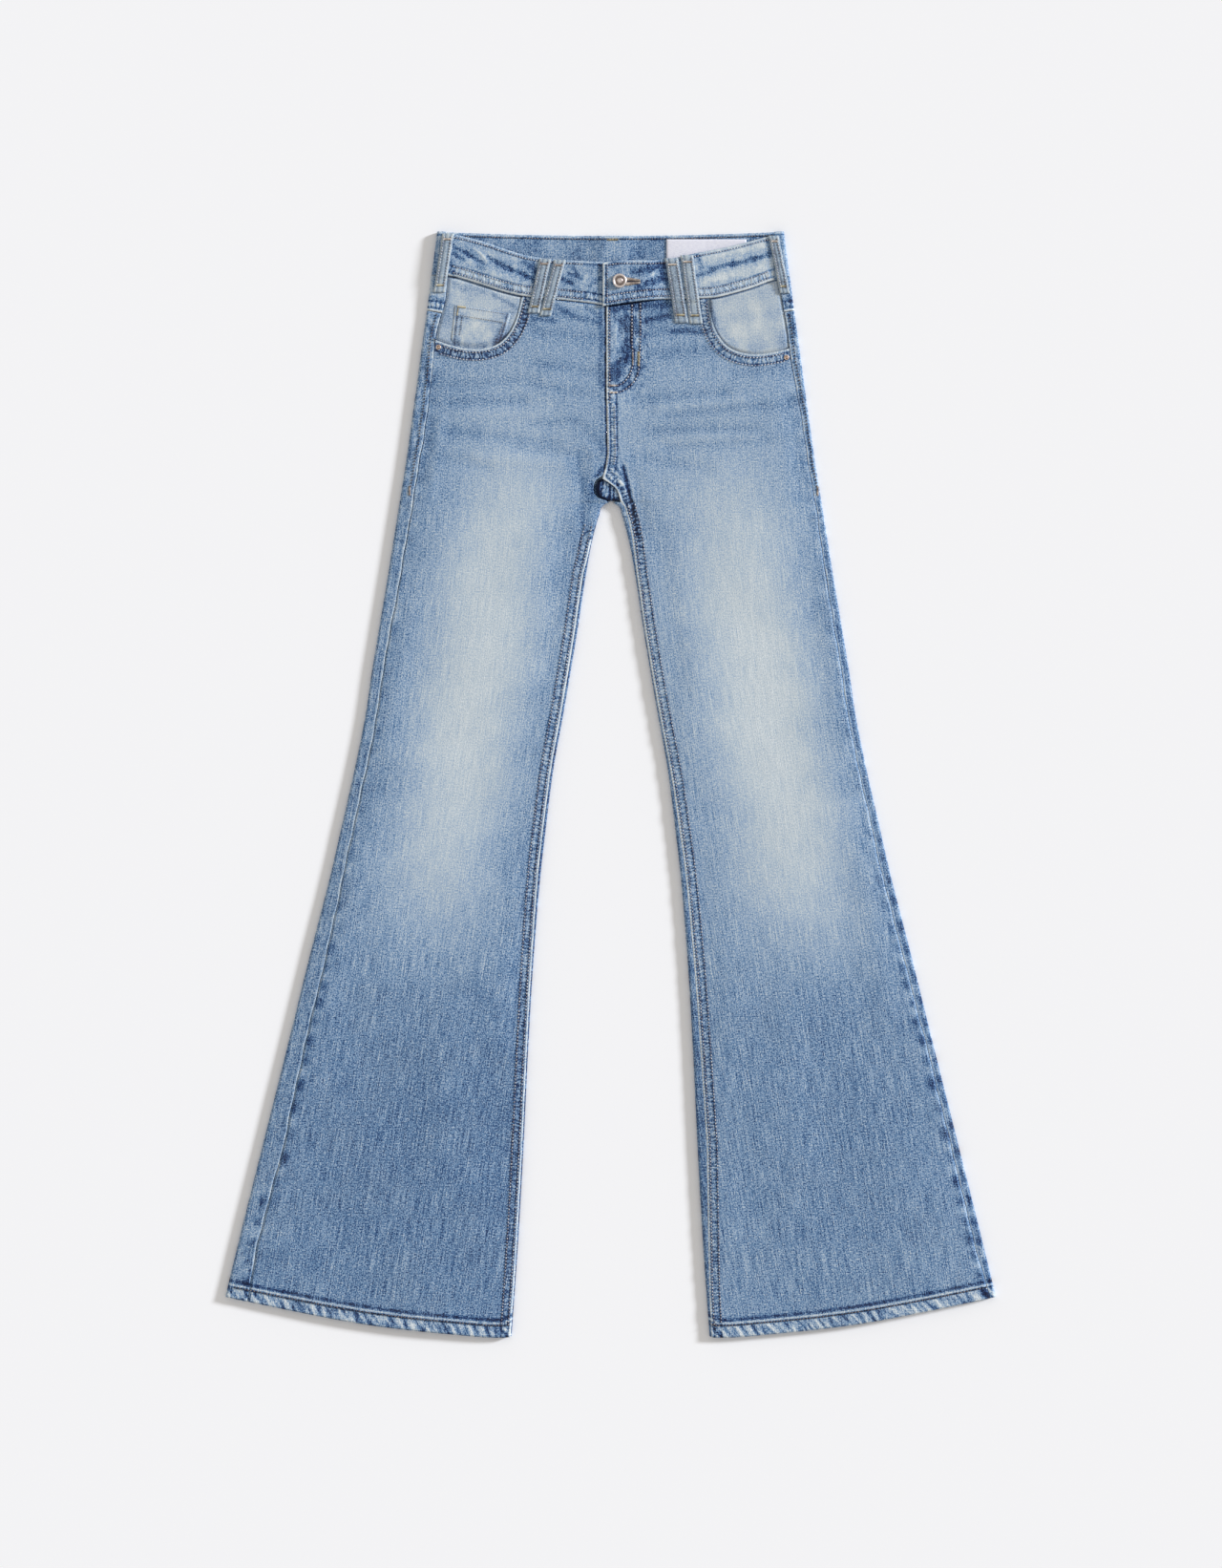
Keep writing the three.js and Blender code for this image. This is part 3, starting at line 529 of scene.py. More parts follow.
def top_height(side, x, down):
    """Outer face of the front layer: the fold's arc, then level, plus crown, waves, creases and puckers."""
    across = np.abs(x)
    out_edge = outer_fold(down) - across
    in_edge = np.where(down > CROTCH, across - inner_fold(down), 1e3)
    near = np.minimum(out_edge, in_edge)
    seam = np.minimum(np.abs(out_edge - rolled_out(side, down)), np.abs(x - front_edge(side, down)))
    extra = crown(near - ROLL) * ease(down, 60, 190) * (1 - 0.35 * ease(down, 1040, 1100))
    extra = extra + slow_waves(x, down) * ease(near, 2, 30) * ease(down, 75, 160)
    extra = extra + stroke_sum(x, down, "height") * ease(near, 0, 8) + puckers(side, down, seam)
    return ROLL + (ROLL + extra) * rounded(near)


def overlap_lift(side, x):
    """The waistband's right end rises over the left one under it."""
    return 2.3 * (1 - ease(x, 32, 56)) if side > 0 else 0.0


def band_height(side, x, down):
    """Outer face of the front waistband."""
    return BAND_TOP + overlap_lift(side, x) + 0.5 * stroke_sum(x, down, "height") + 0.12 * np.sin(x / 13 + down / 11)


print(len(STROKES), "strokes")

# %% [markdown]
# From a grid to a wall of cloth. A sheet without thickness would look like paper at the hems, so each grid
# of outer points gets an inner grid one thickness behind it along the normal, and strips close the four
# edges. The numbers that the shader needs travel with the points as attributes.

# %% Meshes
SEAM_FAR = 60.0
LEG_LEAN, LEAN_FROM, LEAN_EASE = 0.165, 290, 60
# Painted shade: an upper layer's inner face is darker, so the edge walls that blend to it read as shaded.
INSIDE_PAINTED_SHADE = 0.55
PAINT = ("tone", "felled", "along", "single", "hem", "fold", "rope", "rubbed", "crumple")


def grid_normals(grid):
    """Unit normals of a grid of points: the cross product of its two directions."""
    n = np.cross(np.gradient(grid, axis=0), np.gradient(grid, axis=1))
    return n / np.maximum(np.linalg.norm(n, axis=-1, keepdims=True), 1e-9)


def wall(outer, thickness):
    """Vertices and quads of a closed wall behind a grid of outer points, in the same order front and
    back."""
    rows, cols = outer.shape[:2]
    thickness = np.broadcast_to(np.asarray(thickness, float), (rows, cols))
    inner = outer - grid_normals(outer) * thickness[..., None]
    points = np.concatenate([outer.reshape(-1, 3), inner.reshape(-1, 3)])
    index = np.arange(rows * cols).reshape(rows, cols)
    a, b, c, d = index[:-1, :-1], index[1:, :-1], index[1:, 1:], index[:-1, 1:]
    front = np.stack([a, b, c, d], -1).reshape(-1, 4)
    back = front[:, ::-1] + rows * cols
    rim = np.concatenate([index[0, :], index[1:, -1], index[-1, -2::-1], index[-2:0:-1, 0]])
    ahead = np.roll(rim, -1)
    sides = np.stack([rim, ahead, ahead + rows * cols, rim + rows * cols], -1)
    return points, np.concatenate([front, back, sides])


def make_mesh(name, points, quads, material, uv=None, paint=None, flat_from=None):
    """A mesh object at the origin from arrays, in millimetres, with a UV map and float attributes. Its
    faces are smooth, except those from flat_from on."""
    mesh = bpy.data.meshes.new(name)
    mesh.vertices.add(len(points))
    mesh.vertices.foreach_set("co", (np.asarray(points) * MM).astype(np.float32).ravel())
    mesh.loops.add(quads.size)
    mesh.loops.foreach_set("vertex_index", quads.astype(np.int32).ravel())
    mesh.polygons.add(len(quads))
    mesh.polygons.foreach_set("loop_start", np.arange(0, quads.size, quads.shape[1], dtype=np.int32))
    smooth_faces = len(quads) if flat_from is None else flat_from
    mesh.polygons.foreach_set("use_smooth", np.arange(len(quads)) < smooth_faces)
    mesh.update(calc_edges=True)
    if uv is not None:
        layer = mesh.uv_layers.new(name="cloth")
        layer.data.foreach_set("uv", (uv[quads.ravel()] * MM).astype(np.float32).ravel())
    for key, values in (paint or {}).items():
        attribute = mesh.attributes.new(key, "FLOAT", "POINT")
        attribute.data.foreach_set("value", values.astype(np.float32).ravel())
    mesh.materials.append(material)
    piece = bpy.data.objects.new(name, mesh)
    bpy.context.collection.objects.link(piece)
    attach(piece, "root")
    return piece


def to_world(x, down, z):
    """Garment places to row points: +Y runs up to the waist."""
    return np.stack(np.broadcast_arrays(x, TOP - down, z), -1).astype(float)


def nearest_on(line, x, down):
    """Distance to a broken line and the length along it up to the nearest place, for arrays of points."""
    line = np.asarray(line, float)
    best = np.full(np.shape(x), 1e9)
    along = np.zeros(np.shape(x))
    start = 0.0
    for (ax, ay), (bx, by) in zip(line[:-1], line[1:]):
        dx, dy = bx - ax, by - ay
        length = np.hypot(dx, dy)
        t = np.clip(((x - ax) * dx + (down - ay) * dy) / max(length**2, 1e-9), 0, 1)
        away = np.hypot(x - ax - t * dx, down - ay - t * dy)
        closer = away < best
        best = np.where(closer, away, best)
        along = np.where(closer, start + t * length, along)
        start += length
    return best, along


def paint_for(x, down, tone, felled=(), single=(), hem=None, shadow_lines=(), rope=1.0, rubbed=1.0, crumple=0.0):
    """The shader's numbers at points: the wash, distance to the nearest double-stitched and single-stitched
    seam and the place along it, distances to the hem edge and to the nearest line of painted shadow, how
    strongly the seams rope there, how pale their edges are rubbed, and how broken up the wear is."""
    none = np.zeros(np.shape(x))
    far = none + SEAM_FAR
    values = {"tone": tone, "felled": far, "along": none, "single": far, "hem": far if hem is None else hem,
              "fold": far, "rope": rope + none, "rubbed": rubbed + none, "crumple": crumple + none}
    for key, lines in (("felled", felled), ("single", single), ("fold", shadow_lines)):
        for line in lines:
            away, along = nearest_on(line, x, down)
            closer = away < values[key]
            values[key] = np.where(closer, away, values[key])
            if key == "felled":
                values["along"] = np.where(closer, along, values["along"])
    return values


def cloth(name, x, down, z, paint, material, thickness=DENIM, under=False, lean=0):
    """A piece of cloth from a grid of outer places and heights. Where most of the grid lies under the garment,
    its outer side faces down. The yarns lean with a leg, to its side, by LEG_LEAN mm for each mm down,
    which sets in softly: ease * log(1 + exp(past / ease))."""
    grid = to_world(x, down, z)
    x, down = np.broadcast_arrays(x, down)
    leant = LEG_LEAN * LEAN_EASE * np.log1p(np.exp((down - LEAN_FROM) / LEAN_EASE))
    uv = np.stack([x - lean * leant, -down], -1)
    thickness = np.broadcast_to(np.asarray(thickness, float), x.shape)
    paint = {key: np.broadcast_to(paint[key], x.shape) for key in PAINT}
    if (grid_normals(grid)[..., 2].sum() > 0) == under:
        grid, uv, thickness = grid[:, ::-1], uv[:, ::-1], thickness[:, ::-1]
        paint = {key: values[:, ::-1] for key, values in paint.items()}
    points, quads = wall(grid, thickness)
    uv = np.concatenate([uv.reshape(-1, 2)] * 2)
    paint = {key: np.concatenate([values.ravel()] * 2) for key, values in paint.items()}
    # The inner face gets painted shade, and the edge walls blend into it.
    if not under:
        paint["tone"][x.size:] -= INSIDE_PAINTED_SHADE
    both_walls = 2 * (grid.shape[0] - 1) * (grid.shape[1] - 1)
    piece = make_mesh(name, points, quads, material, uv, paint, both_walls)
    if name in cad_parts:
        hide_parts(name)
    faces = np.cross(grid[1:, 1:] - grid[:-1, :-1], grid[1:, :-1] - grid[:-1, 1:])
    return piece


# %% [markdown]
# Shader maths. A node tree written as sums and products is easier to read than a list of links, so one
# small class wraps a socket and gives it the usual operators. Numbers stay numbers until they meet a
# socket.

# %% Socket arithmetic
class Socket:
    """One output socket, with operators that add Math nodes."""

    def __init__(self, tree, output):
        self.tree = tree
        self.output = output

    def node(self, kind, settings=(), ramp=None, out=0, **inputs):
        """Adds any node: settings first, then the sockets by name, with spaces written as underscores."""
        new = self.tree.nodes.new(kind)
        for key, value in dict(settings).items():
            setattr(new, key, value)
        if ramp:
            stops = new.color_ramp.elements
            while len(stops) < len(ramp):
                stops.new(0.5)
            for stop, (place, colour) in zip(stops, ramp):
                stop.position = place
                stop.color = (*colour, 1)
        for key, value in inputs.items():
            socket = new.inputs[int(key[1:])] if key[1:].isdigit() else new.inputs[key.replace("_", " ")]
            if isinstance(value, Socket):
                self.tree.links.new(value.output, socket)
            else:
                socket.default_value = value
        return Socket(self.tree, new.outputs[out])

    def maths(self, operation, other=None):
        inputs = {"i0": self} if other is None else {"i0": self, "i1": other}
        return self.node("ShaderNodeMath", {"operation": operation}, **inputs)

    def __add__(self, other):
        return self.maths("ADD", other)

    __radd__ = __add__

    def __mul__(self, other):
        return self.maths("MULTIPLY", other)

    __rmul__ = __mul__

    def __sub__(self, other):
        return self.maths("SUBTRACT", other)

    def __rsub__(self, other):
        return (self * -1.0) + other

    def __truediv__(self, other):
        return self.maths("DIVIDE", other)

    def bell(self, middle, width):
        """1 at middle, falling as exp(-((value - middle) / width)²)."""
        away = (self - middle) * (1 / width)
        return (away * away * -1.0).maths("EXPONENT")

    def above(self, low, high):
        """A smooth step from 0 at low to 1 at high."""
        settings = {"interpolation_type": "SMOOTHSTEP"}
        return self.node("ShaderNodeMapRange", settings, Value=self, From_Min=low, From_Max=high)


    def mix(self, share, first, second):
        """A colour between two, which are sockets or red, green and blue, by the share of the second."""
        first, second = (c if isinstance(c, Socket) else (*c, 1) for c in (first, second))
        return self.node("ShaderNodeMix", {"data_type": "RGBA"}, out=2, i0=share, i6=first, i7=second)

    def noise(self, detail, scale=1.0, settings=(), **inputs):
        return self.node("ShaderNodeTexNoise", settings, Scale=scale, Detail=detail, **inputs)

    def surface(self, shader, colour, relief, strength, distance):
        """Gives the shader its colour, and a bump of the given height in metres."""
        self.tree.links.new(colour.output, shader.inputs["Base Color"])
        bump = self.node("ShaderNodeBump", Strength=strength, Distance=distance, Height=relief)
        self.tree.links.new(bump.output, shader.inputs["Normal"])


def new_material(name, roughness, metallic=0.0, specular=0.25):
    """A material with a Principled shader, and a start socket for building nodes."""
    material = bpy.data.materials.new(name)
    material.use_nodes = True
    tree = material.node_tree
    shader = tree.nodes["Principled BSDF"]
    shader.inputs["Roughness"].default_value = roughness
    shader.inputs["Metallic"].default_value = metallic
    shader.inputs["Specular IOR Level"].default_value = specular
    return material, shader, Socket(tree, None)


def srgb(*values):
    """Linear colour from red, green and blue of 0 to 255."""
    v = np.array(values, float) / 255
    return tuple(np.where(v <= 0.04045, v / 12.92, ((v + 0.055) / 1.055) ** 2.4).tolist())


# %% [markdown]
# Washed denim. Blue warp yarns run down the leg and white weft yarns cross them. Uneven yarns leave long
# pale slubs down the cloth and short ones across it, and they fade together where the wash has worn the
# blue away. Along a double-stitched seam the cloth ropes: its thick places rub pale and its hollows stay
# dark.

# %% Denim
FIRST_ROW, SECOND_ROW = 3.4, 10.2
DEEPEST, PALEST = -0.3, 1.35
INDIGO = [
    (DEEPEST, srgb(14, 25, 52)),
    (0.0, srgb(24, 47, 95)),
    (0.2, srgb(58, 94, 138)),
    (0.4, srgb(99, 132, 166)),
    (0.6, srgb(137, 161, 191)),
    (0.8, srgb(166, 183, 199)),
    (1.0, srgb(194, 203, 208)),
    (PALEST, srgb(224, 230, 234)),
]


def denim_material(name, contrast=1.0, tint=None, cloudy=0.13):
    """Denim from the painted numbers. The level runs from dark blue to white along the INDIGO colours."""
    material, shader, start = new_material(name, 0.88)
    shader.inputs["Sheen Weight"].default_value = 0.06
    shader.inputs["Sheen Roughness"].default_value = 0.5
    read = {key: start.node("ShaderNodeAttribute", {"attribute_name": key}, out=2) for key in PAINT}
    uv = start.node("ShaderNodeUVMap", {"uv_map": "cloth"})

    flat = {"noise_dimensions": "2D"}

    def yarn(across, along, detail=2.0, seed=0.0):
        """Noise stretched to marks of the given size in mm across and along the cloth."""
        scale = (1000 / across, 1000 / along, 1)
        at = start.node("ShaderNodeMapping", Vector=uv, Scale=scale, Location=(seed, seed * 1.7, 0))
        return start.noise(detail, settings=flat, Vector=at, Roughness=0.6) - 0.5

    slubs = yarn(1.0, 30, 1.0, 3.1)
    long_slubs = yarn(1.3, 110, 1.0, 7.7).above(0.1, 0.3) - 0.1
    picks = yarn(6, 1.2, 2.0, 11.3)
    grain = yarn(1.1, 1.5, 1.0, 17.9)
    clouds = yarn(13, 20, 2.0, 23.3)
    tone = read["tone"]
    blue = 1 - tone.above(0.35, 1.0) * 0.58
    low_on_leg = (start.node("ShaderNodeSeparateXYZ", Vector=uv, out=1) * -1.0).above(0.16, 0.42)
    streaky = low_on_leg * 0.45 + 0.55
    mottled = (slubs * 0.74 + long_slubs * 0.16) * streaky + picks * 0.62 + grain * 1.45
    crumpled = yarn(4.5, 6.5, 3.0, 41.0).above(-0.12, 0.12) - 0.5
    level = tone + mottled * blue * (contrast * 1.08) + clouds * cloudy + crumpled * read["crumple"]

    drift = start.node("ShaderNodeCombineXYZ", X=read["along"] * 0.16, Y=read["felled"] * 0.1)
    uneven = start.noise(2.0, settings=flat, Vector=drift) - 0.5
    bars_wave = (read["along"] * 1.45 + read["felled"] * 0.12 + uneven * 14.0).maths("SINE")
    rows = read["felled"].bell(FIRST_ROW, 1.1) + read["felled"].bell(SECOND_ROW, 1.1)
    band = read["felled"].above(2.4, 4.2) * (1 - read["felled"].above(9.2, 11.4))
    rubbed = read["felled"].bell(0.9, 1.1) * 0.6 + read["single"].bell(0.9, 1.2) * 0.72
    level = level + band * ((bars_wave * 0.26 + uneven * 0.5 - 0.1) * read["rope"] + 0.06)
    # Painted shade: dark lines where the stitch rows sink into the cloth. The pale rubbed seam edges are wear.
    row = read["single"].bell(FIRST_ROW, 1.1)
    level = level - rows * 0.46 - row * 0.46 + rubbed * read["rubbed"]

    # Painted shadow: a dark line along each line in the fold attribute, with a faint paler line 2 mm from it.
    level = level - read["fold"].bell(0.0, 0.9) * 0.75 + read["fold"].bell(2.0, 0.7) * 0.12
    turned = {"Rotation": (0, 0, 0.62), "Scale": (0.005, 0.022, 1)}
    hem_at = start.node("ShaderNodeMapping", {"vector_type": "TEXTURE"}, Vector=uv, **turned)
    twist = start.noise(2.0, settings=flat, Vector=hem_at) - 0.5
    in_hem = 1 - read["hem"].above(10.5, 12.0)
    level = level + in_hem * (twist * 2.4 + 0.13) - read["hem"].bell(12.3, 0.8) * 0.4
    level = level + read["hem"].bell(14.7, 0.9) * 0.5 - read["hem"].bell(18.0, 1.9) * 0.44 * (1 + twist * 2.5)

    stops = [((place - DEEPEST) / (PALEST - DEEPEST), shade) for place, shade in INDIGO]
    colour = start.node("ShaderNodeValToRGB", ramp=stops, Fac=(level - DEEPEST) * (1 / (PALEST - DEEPEST)))
    colour = start.mix(yarn(60, 60, 2.0, 31.0).above(-0.1, 0.25) * 0.05, colour, srgb(150, 158, 158))
    if tint:
        colour = start.mix(tint[0], colour, tint[1])
    seams = rows * -1.6 + band * bars_wave * 0.9 + row * -1.4 + in_hem * twist * 2.0
    start.surface(shader, colour, slubs * 0.6 + picks * 0.5 + grain * 0.8 + seams, 0.4, 0.0004)
    return material


denim = denim_material("washed_denim")
facing_denim = denim_material("pale_pocket_denim", 0.9, (0.09, srgb(198, 190, 174)), cloudy=0.34)
loop_denim = denim_material("loop_denim", 1.1, (0.42, srgb(158, 165, 164)))
print("denim materials made")

# %% [markdown]
# The front legs. Their top edge runs under the waistband and then round the scooped pocket mouth, and their
# lower edge is the hem. Rows are spread between the two edges, and columns between the two seams.

# %% Front legs
TOP_FADE, HEM_FADE, EVEN_FROM = (70, 143), (1000, 1105), 435


def row_height(nominal, top_edge, hem):
    """A row's height: its own in the middle, drawn to the top edge near the waist and to the hem edge
    below."""
    near_top = 1 - np.clip((nominal - TOP_FADE[0]) / (TOP_FADE[1] - TOP_FADE[0]), 0, 1)
    near_hem = np.clip((nominal - HEM_FADE[0]) / (HEM_FADE[1] - HEM_FADE[0]), 0, 1)
    return nominal + (top_edge - TOP_FADE[0]) * near_top + (hem - HEM_FADE[1]) * near_hem


def leg_rows(upper=2.2, lower=3.6):
    """Heights from the top of a leg to its hem, closer together round the crotch."""
    above = np.arange(TOP_FADE[0], 240, upper)
    crotch = np.arange(240, 300, 1.2)
    below = np.arange(300, HEM_FADE[1] - 16, lower)
    hem = np.linspace(HEM_FADE[1] - 16, HEM_FADE[1], 9)
    return np.concatenate([above, crotch, below, hem])


def mouth_curve(side, count):
    """The pocket mouth as a smooth curve by length along it."""
    points = np.array(POCKET_MOUTH[SIDES[side]])
    length = np.concatenate([[0], np.cumsum(np.hypot(*np.diff(points, axis=0).T))])
    at = np.linspace(0, length[-1], count)
    return np.stack([smooth(length, points[:, 0], at), smooth(length, points[:, 1], at)], -1)


def line_of(function, low, high, count=120):
    """A broken line of (x, down) for a place given as a function of the height."""
    down = np.linspace(low, high, count)
    return np.stack([function(down), down], -1)


def hem_line(side):
    across = np.linspace(96, 396, 60)
    return np.stack([side * across, hem_edge(across)], -1)


def inseam_line(side):
    return line_of(lambda d: front_edge(side, d), 168 if side > 0 else 314, 1122, 260)


def outseam_shadow_line(side):
    """The line of painted shadow beside the outseam; below the hips it moves away from the edge, so it shows less.
    """

    def place(down):
        return side * (outer_fold(down) - rolled_out(side, down) + 0.3 + 0.6 * ease(down, 300, 600))

    return line_of(place, 60, 1100, 200)


# The line of painted shadow just below the front waistband's lower edge.
def band_shadow_line(side):
    across = np.linspace(0, 186, 60)
    return np.stack([side * across, band_edge(side, "bottom", across) + 0.8], -1)


# The two rows of the fly's curve and the fold beside the crotch, by columns and rows of the picture.
J_OUTER = [(670.6, 318), (670.6, 360), (669.6, 383), (668.4, 391), (664.4, 400), (657.8, 406.7),
           (647.8, 411.7), (637.8, 412.8)]
J_INNER = [(662, 320), (662, 360), (662.8, 383), (660, 392), (654.4, 400), (646.7, 404.4), (638.2, 405)]


def picture_line(points, count=80):
    """A smooth line through places of the picture, in garment millimetres."""
    points = np.array(points, float)
    length = np.concatenate([[0], np.cumsum(np.hypot(*np.diff(points, axis=0).T))])
    at = np.linspace(0, length[-1], count)
    return np.stack(from_pixel(smooth(length, points[:, 0], at), smooth(length, points[:, 1], at)), -1)


CROTCH_COLUMNS = [652.8, 654.6, 657.9, 659.9, 661.8, 664.5, 667.8, 670]
CROTCH_ROWS = [489, 496.6, 508.4, 521.6, 529.5, 541.3, 555.8, 568]
CROTCH_FOLD = np.stack(from_pixel(CROTCH_COLUMNS, CROTCH_ROWS), -1)


def mouth_line(side):
    mouth = mouth_curve(side, 44)
    return np.stack([side * mouth[:, 0], mouth[:, 1]], -1)


def front_height(side, x, down):
    """The front's outer face: as the layer's, with a low ridge along the pocket mouth and one over the
    fly."""
    away, _ = nearest_on(mouth_line(side), x, down)
    z = top_height(side, x, down) + 0.45 * bell(away, 7)
    fly, _ = nearest_on(line_of(lambda d: front_edge(1, d), 70, 244, 20), x, down)
    ridge = 0.75 * (1 - 0.45 * ease(down, 160, 190)) if side > 0 else 0.3
    return z + ridge * bell(fly, 16) * (1 - ease(down, 232, 250))


def rope_spots(side, x, down):
    """Dark blotches on the front beside the outseam, about 20 mm apart. The left ones end above the hem."""
    away = (outer_fold(down) - rolled_out(side, down)) - np.abs(x)
    spots = np.sin(down / 3.4 + 2.2 * np.sin(down / 41)) + 0.7 * np.sin(down / 8.3 + side)
    strength = 0.06 + 0.17 * ease(down, 560, 860) * (1 - ease(down, 950, 985) * (side < 0))
    return strength * (spots - 0.7) * bell(away - 4.2, 4.0)


def rope_strength(side, x, down):
    """Roping is strong below the crotch on the right and round the pocket mouths."""
    at_crotch = bell(down - 292, 46) * (np.abs(x) < 60) * (side > 0)
    at_mouth = (down < 140) * (np.abs(x) > 80)
    return 0.85 + 0.8 * at_crotch + (0.5 if side < 0 else 0.1) * at_mouth


def fly_crumple(side, x, down):
    """The cloth beside the fly is broken into navy and pale flecks."""
    return 0.44 * (side > 0) * bell(x - 22, 20) * bell(down - 118, 46)


def make_front(side):
    name = "front_" + SIDES[side]
    mouth = mouth_curve(side, 44)
    start = side * float(front_edge(side, 75))
    band_across = np.concatenate([np.linspace(start, 34, 30)[:-1], np.linspace(34, mouth[0, 0], 28)[:-1]])
    top_across = np.concatenate([band_across, mouth[:, 0]])
    top_down = np.concatenate([band_edge(side, "bottom", band_across) + 0.3, mouth[:, 1]])
    even = np.linspace(0, 1, len(top_across)) ** 1.2

    def inner(down):
        return side * front_edge(side, down) + 0.15

    def outer(down):
        return outer_fold(down) - rolled_out(side, down) - 0.3

    foot = inner(1105) + (outer(1105) - inner(1105)) * even
    nominal = leg_rows()[:, None]
    down = row_height(nominal, top_down, hem_edge(foot))
    share_top = np.clip((top_across - inner(top_down)) / (outer(top_down) - inner(top_down)), 0, 1)
    blend = ease(nominal, TOP_FADE[0], EVEN_FROM)
    share = share_top + (even - share_top) * blend
    across = inner(down) + (outer(down) - inner(down)) * share
    x = side * across
    z = front_height(side, x, down)
    hem_away, _ = nearest_on(hem_line(side), x, down)
    thickness = DENIM + 0.9 * (1 - ease(hem_away, 11.5, 13))
    mouth_away, _ = nearest_on(mouth_line(side), x, down)
    tone = wash(side, x, down) + rope_spots(side, x, down)
    if side < 0:
        tone = tone - 0.2 * bell(mouth_away - 7, 4)
    single = [line_of(lambda d: front_edge(side, d), 75, 168, 30)] if side > 0 else []
    # Painted shadow: the fly's raised edge throws a thin dark line on the left front beside it.
    fly_shadow_line = line_of(lambda d: front_edge(1, d) - 0.9, 66, 244, 60)
    shadow_lines = [CROTCH_FOLD if side > 0 else fly_shadow_line, outseam_shadow_line(side), band_shadow_line(side)]
    rope = rope_strength(side, x, down)
    rubbed = 1 - (0.22 if side < 0 else 0.4) * bell(mouth_away, 4)
    felled = [inseam_line(side), mouth_line(side)]
    crumple = fly_crumple(side, x, down)
    paint = paint_for(x, down, tone, felled, single, hem_away, shadow_lines, rope, rubbed, crumple)
    if side > 0:
        # Painted shade along the crotch crease and in the dimples of the fly's two stitch rows.
        shadow_grooves = [0.55 * nearest_on(CROTCH_FOLD, x, down)[0]]
        shadow_grooves += [0.2 + 0.7 * nearest_on(picture_line(row), x, down)[0] for row in (J_OUTER, J_INNER)]
        paint["fold"] = np.minimum.reduce([paint["fold"], *shadow_grooves])
    return cloth(name, x, down, z, paint, denim, thickness, lean=side)


# %% [markdown]
# The back legs. Each one starts at the outseam on the front, rolls over the outer fold, lies flat
# underneath, and below the crotch rolls up over the inner fold to the inseam. The roll is walked by length:
# level first, then round the fold's arc.

# %% Back legs
BACK_LOOP = {"middle": 2.4, "half": 6.0, "top": 5.0, "foot": 66.0}


def roll_path(turned, radius, top, count):
    """From the seam over a fold to the underside: distance inside the fold, height, and how level the place
    is."""
    turned = np.asarray(turned, float)[..., None]
    flat = np.clip(turned - radius, 0, None)
    first = np.where(turned < radius, np.arcsin(np.clip(1 - turned / radius, -1, 1)), 0)
    length = flat + radius * (np.pi - first)
    s = np.linspace(0, 1, count) * length
    angle = first + np.clip(s - flat, 0, None) / radius
    inward = np.where(s < flat, turned - s, radius - radius * np.sin(angle))
    level = np.clip(np.cos(angle), 0, 1)
    return inward, top - radius + radius * np.cos(angle), level


def lift_over_loop(x, down):
    """The middle of the back stands on its belt loop."""
    away = np.abs(x - BACK_LOOP["middle"]) - BACK_LOOP["half"]
    return 1.3 * (1 - ease(away, 1, 22)) * (1 - ease(down, 70, 126))


